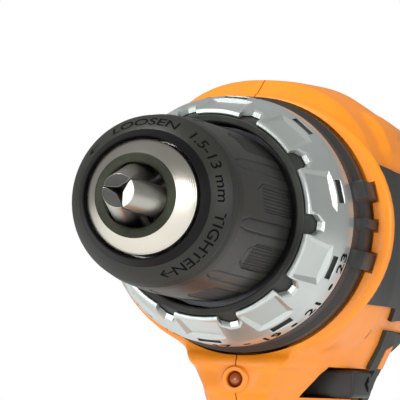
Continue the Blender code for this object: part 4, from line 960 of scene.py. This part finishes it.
@dataclass
class HousingSkin:
    """The sections that make the outside of the housing, in millimetres."""

    rim_front: float = 102.2
    rim_half_width: float = 39.1
    rim_half_height: float = 35.0
    rim_thickness: float = 4.6
    foot_floor: float = -156.1
    foot_height: float = 16.0
    lamp_height: float = -40.3
    foot_centre: float = 144.0
    neck_rear: float = 170.0
    barrel: tuple[tuple[float, ...], ...] = (
        (103.7, 33.6, 34.2, -33.8, 2.0), (107.0, 33.6, 36.5, -35.5, 2.1),
        (112.0, 33.6, 39.9, -37.0, 2.3), (118.0, 33.6, 40.6, -37.0, 2.4),
        (130.0, 33.8, 41.4, -37.0, 2.7), (150.0, 32.6, 41.8, -37.0, 2.6),
        (180.0, 31.6, 41.8, -37.0, 2.5), (197.0, 30.1, 39.8, -35.0, 2.5),
        (207.0, 25.1, 34.3, -30.0, 2.4), (212.0, 18.1, 25.8, -22.0, 2.4))
    neck: tuple[tuple[float, ...], ...] = (
        (-15.0, 108.5, 19.0, 24.5, 30.5, 114.0), (-29.0, 100.5, 16.0, 21.5, 26.5, 115.0),
        (-33.6, 99.9, 14.2, 19.0, 24.4, 116.2), (-34.2, 98.9, 14.0, 18.9, 24.1, 116.4),
        (-36.6, 98.2, 12.8, 18.2, 23.2, 117.0), (-37.4, 99.0, 10.8, 17.2, 22.5, 117.8),
        (-43.4, 98.9, 8.6, 15.1, 20.5, 120.4), (-44.4, 100.2, 8.4, 14.9, 20.2, 120.5),
        (-50.0, 104.0, 7.5, 13.0, 18.0, 121.0))
    handle: tuple[tuple[float, ...], ...] = (
        (-20.0, 149.0, 19.8, 24.0, 2.3), (-42.0, 149.0, 18.8, 24.0, 2.3),
        (-60.0, 150.0, 17.2, 21.0, 2.3), (-80.0, 152.0, 16.8, 19.8, 2.3),
        (-102.0, 154.5, 16.6, 19.0, 2.3), (-125.0, 158.0, 16.8, 20.0, 2.4),
        (-136.1, 159.0, 18.3, 22.0, 2.4), (-144.1, 159.0, 21.8, 26.0, 2.6))
    shoulder: tuple[Point, ...] = ((12.0, 38.6), (18.5, 36.7), (27.6, 33.0), (31.0, 29.6),
                                   (33.9, 23.4), (33.5, 12.0), (20.0, 10.0), (10.0, 25.0))

    def solid(self, grow: float, voxel: float) -> bpy.types.Object:
        """One closed solid of the barrel, rim, neck, handle and foot.

        Args:
            grow: how far it stands outside the skin; negative for the hollow.
            voxel: grain of the mesh that joins them, in millimetres.

        Returns:
            The joined solid.
        """
        shape = self._barrel(grow).join(self._neck(grow)).join(self._handle(grow))
        shape.join(self._foot(grow))
        if grow >= 0.0:
            shape.join(self._rim())
            for side in (-1.0, 1.0):
                shape.join(self._shoulder(side))
        solid = shape.build("housing_solid", Finishes.ORANGE)
        remesh = solid.modifiers.new("join", "REMESH")
        remesh.mode = "VOXEL"
        remesh.voxel_size = voxel * MM
        soft = solid.modifiers.new("soften", "SMOOTH")
        soft.factor = 0.5
        soft.iterations = 3 if grow >= 0.0 else 1
        apply_modifiers(solid)
        return solid

    def _barrel(self, grow: float) -> Shape:
        """The barrel round the gearbox and motor."""
        rings = []
        last = len(self.barrel) - 1
        for index, (s, half, top, bottom, power) in enumerate(self.barrel):
            outline = rounded(half + grow, (top - bottom) / 2 + grow, power)
            at = s + (grow if index == last else 0.0)
            rings.append([DATUM.place(u, at, (top + bottom) / 2 + v) for u, v in outline])
        return Shape.loft(rings)

    def _rim(self) -> Shape:
        """The raised rim round the mouth."""
        rear = self.rim_front + self.rim_thickness
        rings = []
        for s, inset in ((self.rim_front, 1.5), (self.rim_front + 1.2, 0.0),
                         (rear - 1.6, 0.0), (rear, 1.9)):
            outline = rounded(self.rim_half_width - inset, self.rim_half_height - inset, 2.0, 160)
            rings.append([DATUM.place(u, s, v) for u, v in outline])
        return Shape.loft(rings)

    def _shoulder(self, side: float) -> Shape:
        """The raised, faceted edge along the barrel's upper flank."""
        rings = []
        for s, share in ((116.0, 0.84), (124.0, 0.975), (134.0, 1.0), (192.0, 0.97),
                         (202.0, 0.84)):
            rings.append([DATUM.place(side * u * share, s, v * share)
                          for u, v in self.shoulder])
        return Shape.loft(rings)

    def _neck(self, grow: float) -> Shape:
        """The chin under the dial and the broad top of the handle."""
        rings = []
        for z, front, nose, crease, side, crease_at in self.neck:
            half = [(nose * 0.55, front - grow), (nose, front + 1.2 - grow),
                    (crease + grow, crease_at), (side + grow, 140.0),
                    (side + grow, self.neck_rear - 8.0), (side * 0.7, self.neck_rear + grow)]
            outline = half + [(-u, v) for u, v in reversed(half)]
            at = z if z > self.neck[-1][0] else z - grow
            rings.append([DATUM.place(u, s, at) for u, s in outline])
        return Shape.loft(rings)

    @staticmethod
    def _stack(levels: Sequence[tuple[float, ...]], grow: float, steps: int) -> Shape:
        """A skin through level outlines: height, middle, half width, half length, power."""
        rings = []
        for z, centre, half, length, power in levels:
            outline = rounded(half + grow, length + grow, power, steps)
            rings.append([DATUM.place(u, centre + v, z) for u, v in outline])
        return Shape.loft(rings)

    def _handle(self, grow: float) -> Shape:
        """The handle."""
        return self._stack(self.handle, grow, 64)

    def _foot(self, grow: float) -> Shape:
        """The foot that the battery slides on to."""
        floor = self.foot_floor if grow >= 0.0 else self.foot_floor - grow
        roof = self.foot_floor + self.foot_height + grow
        levels = ((roof, 152.0, 23.5, 33.0, 3.0), (roof - 3.5, 146.0, 33.5, 48.0, 4.0),
                  (roof - 6.5, self.foot_centre, 37.5, 54.0, 5.0),
                  (floor, self.foot_centre, 37.5, 55.0, 5.0))
        return self._stack(levels, min(grow, 0.0), 120)


@dataclass
class Housing:
    """Two orange shells with their rim, chin, windows and vents."""

    collar: Collar
    skin: HousingSkin = field(default_factory=HousingSkin)
    mouth_radius: float = 32.7
    seam: float = 0.15
    wall: float = 2.6
    voxel: float = 0.85
    hollow_voxel: float = 1.7
    sharp: float = 38.0
    screws: tuple[Triple, ...] = ((197.0, 26.5, 30.0), (168.0, 33.0, 26.0), (153.5, -96.0, 21.0),
                                  (187.0, -148.1, 21.0))
    lever_window: tuple[Point, ...] = ((121.0, -35.9), (153.6, -35.9), (153.6, -44.4),
                                       (115.0, -44.4))

    def build(self) -> bpy.types.Object:
        """Builds both halves, and returns the solid that the trim is shaped on."""
        solid = self.skin.solid(0.0, self.voxel)
        whole = twin(solid)
        carve(whole, self.skin.solid(-self.wall, self.hollow_voxel))
        carve(whole, self._mouth().build("mouth"))
        carve(whole, self._openings().build("openings"))
        for name, side in (("left", 1.0), ("right", -1.0)):
            half = twin(whole)
            low, high = sorted((side * self.seam, side * 60.0))
            keep = Shape.block((low, 60.0, -180.0), (high, 240.0, 80.0))
            carve(half, keep.build("keep"), "INTERSECT")
            half.name = half.data.name = f"housing_shell_{name}"
            crisp(half.data, self.sharp)
            fit(half, "housing", "housing_orange", f"housing_{name}")
        bpy.data.objects.remove(whole)
        return solid

    def _mouth(self) -> Shape:
        """The round opening for the collar, with a sloping lip."""
        front = self.skin.rim_front
        return Shape.lathe([(0.0, front - 5.0), (self.mouth_radius + 1.4, front - 5.0),
                            (self.mouth_radius + 1.4, front + 1.0),
                            (self.mouth_radius - 0.25, front + 2.0),
                            (self.mouth_radius - 0.25, front + 6.0), (0.0, front + 6.0)], 180)

    def _openings(self) -> Shape:
        """Every window, hole and vent, as one cutter."""
        cutter = Shape.block((-7.3, 109.5, -78.8), (7.3, 139.0, -51.2))
        cutter.join(Shape.prism(self.lever_window, -40.0, 40.0))
        cutter.join(Shape.block((-3.6, 144.7, 36.0), (3.6, 160.3, 54.0)))
        cutter.join(Shape.block((-16.3, 70.0, -161.0), (16.3, 164.3, -147.0)))
        lamp = self.skin.lamp_height
        cutter.join(Shape.rod(2.1, DATUM.place(0.0, 94.0, lamp), DATUM.place(0.0, 107.5, lamp)))
        for index in range(4):
            front = 180.8 + 5.0 * index
            for low, high in ((-50.0, -14.0), (14.0, 50.0)):
                cutter.join(Shape.block((low, front, -30.0), (high, front + 2.2, -22.5)))
        for side in (-1.0, 1.0):
            low, high = sorted((side * 20.0, side * 40.0))
            cutter.join(Shape.block((low, 130.4, -27.6), (high, 132.0, -25.2)))
        for notch in self.collar.shapes(0.45):
            cutter.join(notch)
        for s, z, across in self.screws:
            cutter.join(Shape.rod(3.3, DATUM.place(-50.0, s, z),
                                  DATUM.place(-across * 0.5, s, z), 32))
        return cutter


@dataclass
class Trim:
    """Dark side panels, soft grips, the orange inset and the chin's small parts."""

    solid: bpy.types.Object
    panel: tuple[Point, ...] = ((108.0, 17.5), (107.6, -18.5), (145.0, -18.5), (147.5, -22.0),
                                (192.0, -20.0), (200.0, 16.0))
    grip: tuple[Point, ...] = ((147.5, -24.8), (190.0, -24.8), (190.0, -132.0), (123.0, -132.0),
                               (123.0, -81.5), (136.0, -81.5), (143.0, -74.0))
    inset: tuple[Point, ...] = ((154.4, -29.6), (160.4, -28.6), (161.4, -35.2), (155.0, -35.2))
    lever_slot: tuple[Point, ...] = ((130.0, -35.7), (153.9, -35.7), (153.9, -44.6),
                                     (130.0, -44.6))
    lamp: Point = (0.0, HousingSkin.lamp_height)
    lift: float = 1.15
    inset_lift: float = 0.25
    clear: float = 0.08

    def build(self) -> None:
        """Builds the trim of both sides."""
        for name, side in (("left", 1.0), ("right", -1.0)):
            panel = self._patch(self.panel, side, self.lift)
            fit(panel.build(f"flank_panel_{name}", Finishes.PANEL), "housing", "panel_black",
                f"side_panel_{name}")
            grip = self._patch(self.grip, side, self.lift, self.inset, self.lever_slot)
            fit(grip.build(f"soft_grip_{name}", Finishes.RUBBER), "housing", "grip_rubber",
                f"grip_{name}")
            inset = self._patch(self.inset, side, self.lift + self.inset_lift)
            fit(inset.build(f"grip_inset_{name}", Finishes.ORANGE), "housing", "housing_orange")
        bpy.data.objects.remove(self.solid)
        self._light()

    def _patch(self, outline: tuple[Point, ...], side: float, lift: float,
               *holes: tuple[Point, ...]) -> Shape:
        """A thin shell that follows the housing's skin inside an outline.

        Args:
            outline: corners behind the tips and above the axis.
            side: 1 for the +X side, -1 for the other.
            lift: its thickness.
            holes: outlines that are left open in it.

        Returns:
            The shell.
        """
        shape = Shape()
        shape.bm.from_mesh(self.solid.data)
        self._keep_near(shape, outline, side)
        for loop in (outline, *holes):
            for (sa, za), (sb, zb) in zip(loop, loop[1:] + loop[:1]):
                geometry = shape.bm.verts[:] + shape.bm.edges[:] + shape.bm.faces[:]
                normal = Vector((0.0, zb - za, sa - sb)).normalized()
                bmesh.ops.bisect_plane(shape.bm, geom=geometry, plane_no=normal, dist=1e-6,
                                       plane_co=DATUM.place(0.0, sa, za))
        out = []
        for face in shape.bm.faces:
            centre = face.calc_center_median()
            s, z = DATUM.behind(centre), DATUM.above(centre)
            if (edge_distance(outline, s, z) > 0.0
                    or any(edge_distance(hole, s, z) < 0.0 for hole in holes)):
                out.append(face)
        bmesh.ops.delete(shape.bm, geom=out, context="FACES")
        bmesh.ops.remove_doubles(shape.bm, verts=shape.bm.verts, dist=2e-5)
        shape.bm.normal_update()
        for vert in shape.bm.verts:
            vert.co += vert.normal * (self.clear * MM)
        skin = shape.bm.faces[:]
        rise = {vert: vert.normal * (lift * MM) for vert in shape.bm.verts}
        grown = bmesh.ops.extrude_face_region(shape.bm, geom=skin, use_keep_orig=True)["geom"]
        outer = [part for part in grown if isinstance(part, bmesh.types.BMVert)]
        starts = {vert.co.to_tuple(7): move for vert, move in rise.items()}
        for vert in outer:
            vert.co += starts.get(vert.co.to_tuple(7), vert.normal * (lift * MM))
        bmesh.ops.recalc_face_normals(shape.bm, faces=shape.bm.faces[:])
        return shape

    @staticmethod
    def _keep_near(shape: Shape, outline: tuple[Point, ...], side: float,
                   room: float = 3.0) -> None:
        """Removes the faces that lie away from an outline or face the other side."""
        low_s, high_s = (pick(s for s, _ in outline) for pick in (min, max))
        low_z, high_z = (pick(z for _, z in outline) for pick in (min, max))
        far = []
        for face in shape.bm.faces:
            centre = face.calc_center_median()
            if not (low_s - room < DATUM.behind(centre) < high_s + room
                    and low_z - room < DATUM.above(centre) < high_z + room
                    and centre.x * side > 0.5 * MM and face.normal.x * side > 0.02):
                far.append(face)
        bmesh.ops.delete(shape.bm, geom=far, context="FACES")

    def _light(self) -> None:
        """The small lamp in the chin: its amber lens and the raised ring round it."""
        lens = Shape.lathe([(0.0, 98.0), (0.9, 98.12), (1.5, 98.6), (1.8, 99.4), (1.8, 105.1),
                            (0.0, 105.1)], 48, centre=self.lamp)
        fit(lens.build("lamp_lens", Finishes.LENS), "housing", "led_amber", "led_lens")
        ring = Shape.lathe([(2.1, 98.2), (2.3, 97.75), (3.1, 97.75), (3.55, 98.2), (3.7, 100.6),
                            (2.1, 100.6)], 64, centre=self.lamp)
        fit(ring.build("lamp_ring", Finishes.ORANGE), "housing", "housing_orange")


# ---------------------------------------------------------------- controls and battery

@dataclass
class Controls:
    """Trigger, direction lever and speed selector."""

    trigger_front: float = 113.5
    trigger_top: float = -51.5
    trigger_height: float = 27.0
    lever_left: float = 24.0
    lever_right: float = -17.0
    lever_front: float = 131.0
    lever_length: float = 22.0
    lever_low: float = -44.0
    lever_high: float = -36.4
    trigger_half: float = 7.0
    spring_height: float = -63.65
    selector_low: float = 42.05
    selector_ribs: int = 5

    def build(self) -> None:
        """Builds the three controls."""
        self._trigger()
        self._lever()
        self._selector()

    def _trigger(self) -> None:
        """A dished finger trigger with a hollow back for its spring."""
        rear, bottom = self.trigger_front + 19.5, self.trigger_top - self.trigger_height
        outline = [(rear, self.trigger_top), (rear, bottom)]
        for step in range(17):
            share = step / 16
            dish = 3.0 * math.sin(math.pi * share)
            outline.append((self.trigger_front + 3.0 * (1.0 - share) + dish,
                            bottom + self.trigger_height * share))
        shape = Shape.prism(outline, -self.trigger_half, self.trigger_half).round_edges(1.4, 4)
        trigger = shape.build("finger_trigger", Finishes.PANEL)
        pocket = Shape.rod(4.0, DATUM.place(0.0, 124.0, self.spring_height),
                           DATUM.place(0.0, 136.0, self.spring_height))
        carve(trigger, pocket.build("pocket"))
        fit(trigger, "trigger_body", "panel_black", "trigger")

    def _lever(self) -> None:
        """The direction lever, standing out on both sides with a mark on each end."""
        rear = self.lever_front + self.lever_length
        shape = Shape.block((self.lever_right, self.lever_front, self.lever_low),
                            (self.lever_left, rear, self.lever_high), 1.0, 4)
        for end in (self.lever_right, self.lever_left):
            low, high = end - 0.22, end + 0.22
            middle, level = rear - 6.0, (self.lever_low + self.lever_high) / 2
            mark = Shape.prism(((middle - 2.4, level), (middle + 1.6, level + 2.1),
                                (middle + 1.6, level + 0.8), (middle - 0.1, level),
                                (middle + 1.6, level - 0.8), (middle + 1.6, level - 2.1)),
                               low, high)
            for face in mark.bm.faces:
                face.material_index = 1
            shape.join(mark)
        fit(shape.build("direction_bar", Finishes.COLLAR, Finishes.INK), "lever", "panel_black",
            "direction_lever")

    def _selector(self) -> None:
        """The ribbed speed selector on top."""
        low, high = self.selector_low, self.selector_low + 0.55
        shape = Shape.block((-7.2, 143.6, low), (7.2, 157.6, high), 0.2, 3)
        for index in range(self.selector_ribs):
            front = 145.4 + 2.2 * index
            shape.join(Shape.block((-5.6, front, high - 0.15), (5.6, front + 1.1, high + 0.25),
                                   0.15, 2))
        shape.join(Shape.block((-3.0, 145.3, 34.0), (3.0, 155.7, high)))
        fit(shape.build("speed_slider", Finishes.PANEL), "selector", "panel_black",
            "speed_selector")


@dataclass
class Battery:
    """Slide-on battery: case, lid with its rail, and the release button."""

    half_width: float = 37.5
    half_length: float = 57.5
    centre: float = 142.0
    floor: float = -200.0
    case_height: float = 28.0
    height: float = 43.6
    wall: float = 2.4
    power: float = 9.0
    sharp: float = 32.0
    grooves: int = 5
    first_groove: float = 8.0
    groove_pitch: float = 3.2
    catch_ribs: int = 4

    def build(self) -> None:
        """Builds the battery's outside."""
        case = self._slab(0.0, self.case_height, 0.0, 2.0).build("battery_tub", Finishes.PANEL)
        carve(case, self._slab(self.wall, self.case_height + 5.0, self.wall).build("tray"))
        for index in range(self.grooves):
            z = self.floor + self.first_groove + self.groove_pitch * index
            groove = self._slab(z - self.floor, z - self.floor + 1.2, -1.0)
            inner = self._slab(z - self.floor - 1.0, z - self.floor + 2.2, 0.7)
            band = groove.build("band")
            carve(band, inner.build("band_core"))
            side = Shape.block((-60.0, 108.0, z - 2.0), (60.0, 176.0, z + 3.0))
            carve(band, side.build("band_side"), "INTERSECT")
            carve(case, band)
        self._dress(case, "battery_case")
        lid = self._slab(self.case_height + 0.3, self.height, 0.0, 0.8)
        top = lid.build("battery_cover", Finishes.PANEL)
        tower = Shape.block((-16.0, 98.0, -159.1), (16.0, 164.0, -147.6), 0.5, 2)
        carve(top, tower.build("tower"), "UNION")
        carve(top, self._slab(self.case_height - 4.7, self.height - self.wall,
                              self.wall).build("under"))
        notch = Shape.block((-14.0, 79.5, -169.0), (14.0, 90.5, -161.5))
        carve(top, notch.build("notch"))
        self._dress(top, "battery_lid")
        button = Shape.block((-13.7, 84.8, -168.7), (13.7, 96.5, -161.8), 0.9, 3)
        for index in range(self.catch_ribs):
            z = -167.2 + 1.4 * index
            button.join(Shape.block((-10.5, 84.55, z), (10.5, 85.4, z + 0.6), 0.15, 2))
        fit(button.build("battery_catch", Finishes.ORANGE), "release", "release_orange",
            "battery_release")

    def _dress(self, piece: bpy.types.Object, node: str) -> None:
        """Shades a battery piece and puts it in place of its node."""
        crisp(piece.data, self.sharp)
        fit(piece, "battery", "battery_black", node)

    def _slab(self, low: float, high: float, shrink: float, edge: float = 0.8) -> Shape:
        """A slab of the battery's outline between two heights above its underside."""
        rings = []
        for height, inset in ((low, edge), (low + 0.35 * edge, 0.35 * edge), (low + edge, 0.0),
                              (high, 0.0)):
            outline = rounded(self.half_width - shrink - inset, self.half_length - shrink - inset,
                              self.power, 144)
            rings.append([DATUM.place(u, self.centre + v, self.floor + height)
                          for u, v in outline])
        return Shape.loft(rings)


@dataclass
class Spring:
    """A coil spring made from the frame's own coil."""

    node: str
    name: str
    joint: str
    body: str
    travel: float

    def build(self) -> None:
        """Makes the coil from the frame's own and hangs it on its body."""
        shape = Shape()
        shape.bm.from_mesh(frame["nodes"][self.node].data)
        shape.tidy()
        behind = [DATUM.behind(vert.co) for vert in shape.bm.verts]
        front, length = min(behind), max(behind) - min(behind)
        coil = shape.build(self.name, Finishes.DARK_STEEL, sharp=75.0)
        fit(coil, self.body, "dark_steel", self.node)
        DATUM.place(0.0, front, 0.0)
        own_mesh(coil)


# ---------------------------------------------------------------- studio

@dataclass(frozen=True)
class SoftLight:
    """A large diffused lamp, placed by the direction it shines from."""

    name: str
    azimuth: float
    elevation: float
    power: float
    size: float
    distance: float = 1.1

    def place(self, target: Vector) -> bpy.types.Object:
        """Adds the lamp, turned to face the target."""
        turn, rise = math.radians(self.azimuth), math.radians(self.elevation)
        offset = Vector((math.sin(turn) * math.cos(rise), -math.cos(turn) * math.cos(rise),
                         math.sin(rise)))
        lamp = bpy.data.lights.new(self.name, "AREA")
        lamp.shape = "DISK"
        lamp.size = self.size
        lamp.energy = self.power
        item = bpy.data.objects.new(self.name, lamp)
        item.location = target + offset * self.distance
        item.rotation_euler = (-offset).to_track_quat("-Z", "Y").to_euler()
        link(item)
        return item


@dataclass
class Studio:
    """Camera, floor, pale surroundings and soft lights."""

    eye: Triple = (157.9, -441.9, -35.1)
    yaw: float = 17.47
    pitch: float = 4.15
    roll: float = 3.17
    lens: float = 194.4
    floor_size: float = 3.0
    floor_glow: float = 0.22
    surround: float = 0.29
    lights: tuple[SoftLight, ...] = (
        SoftLight("key_softbox", -30.0, 58.0, 12.0, 0.6),
        SoftLight("side_softbox", 75.0, 12.0, 4.0, 0.6),
        SoftLight("front_strip", -8.0, -2.0, 3.2, 0.45),
    )

    def build(self) -> None:
        """Sets up everything round the drill."""
        self._camera()
        self._floor()
        self._world()
        target = DATUM.place(0.0, 60.0, -20.0)
        for light in self.lights:
            light.place(target)

    def _camera(self) -> None:
        """Aims the scene's camera along its yaw, pitch and roll."""
        yaw, pitch, roll = (math.radians(turn) for turn in (self.yaw, self.pitch, self.roll))
        ahead = Vector((-math.sin(yaw) * math.cos(pitch), math.cos(yaw) * math.cos(pitch),
                        math.sin(pitch)))
        across = ahead.cross(Vector((0.0, 0.0, 1.0))).normalized()
        upward = across.cross(ahead)
        right = math.cos(roll) * across + math.sin(roll) * upward
        top = right.cross(ahead)
        axes = Matrix((right, top, -ahead)).transposed()
        data = bpy.data.cameras.new("camera")
        data.lens = self.lens
        data.sensor_width = 36.0
        data.clip_start = 0.01
        camera = bpy.data.objects.new("camera", data)
        camera.matrix_world = Matrix.Translation(DATUM.place(*self.eye)) @ axes.to_4x4()
        link(camera)
        bpy.context.scene.camera = camera

    def _floor(self) -> None:
        """A plain white floor under the battery."""
        shape = Shape()
        bmesh.ops.create_grid(shape.bm, x_segments=1, y_segments=1, size=self.floor_size)
        white = Finish("studio_white", (0.92, 0.92, 0.92), 0.8, 0.0, Grain.SMOOTH, 0.0,
                       glow=self.floor_glow)
        shape.build("studio_floor", white)

    def _world(self) -> None:
        """Surroundings that look white and light the drill more softly."""
        world = bpy.data.worlds.new("studio_world")
        world.use_nodes = True
        tree = world.node_tree
        sky = tree.nodes["Background"]
        sky.inputs["Color"].default_value = (1.0, 1.0, 1.0, 1.0)
        seen = tree.nodes.new("ShaderNodeLightPath")
        level = tree.nodes.new("ShaderNodeMapRange")
        level.inputs["To Min"].default_value = self.surround
        level.inputs["To Max"].default_value = 1.0
        tree.links.new(seen.outputs["Is Camera Ray"], level.inputs["Value"])
        tree.links.new(level.outputs["Result"], sky.inputs["Strength"])
        bpy.context.scene.world = world
        bpy.context.scene.view_settings.view_transform = "Standard"


# ---------------------------------------------------------------- the whole drill

def dress_frame() -> None:
    """Gives every CAD node that stays visible the finish of its material slot."""
    for part in frame["record"]["subparts"]:
        item = frame["nodes"][part["node"]]
        finish = Finishes.BY_NODE.get(part["node"], Finishes.BY_SLOT[part["material_slot"]])
        item.data.materials.clear()
        item.data.materials.append(finish.material())


def main() -> None:
    """Builds the drill and its surroundings in order."""
    dress_frame()
    collar = Collar()
    springs = (Spring("clutch_spring", "clutch_coil", "clutch_turn", "clutch_nut_body", 5.75),
               Spring("trigger_spring", "trigger_coil", "trigger_slide", "trigger_body", 7.0))
    for part in (Chuck(), ClutchDial(), collar, Controls(), Battery(), *springs):
        log.info("building %s", type(part).__name__)
        part.build()
    Trim(Housing(collar).build()).build()
    Studio().build()


if __name__ == "__main__":
    logging.basicConfig(level=logging.INFO, format="%(message)s")
    main()
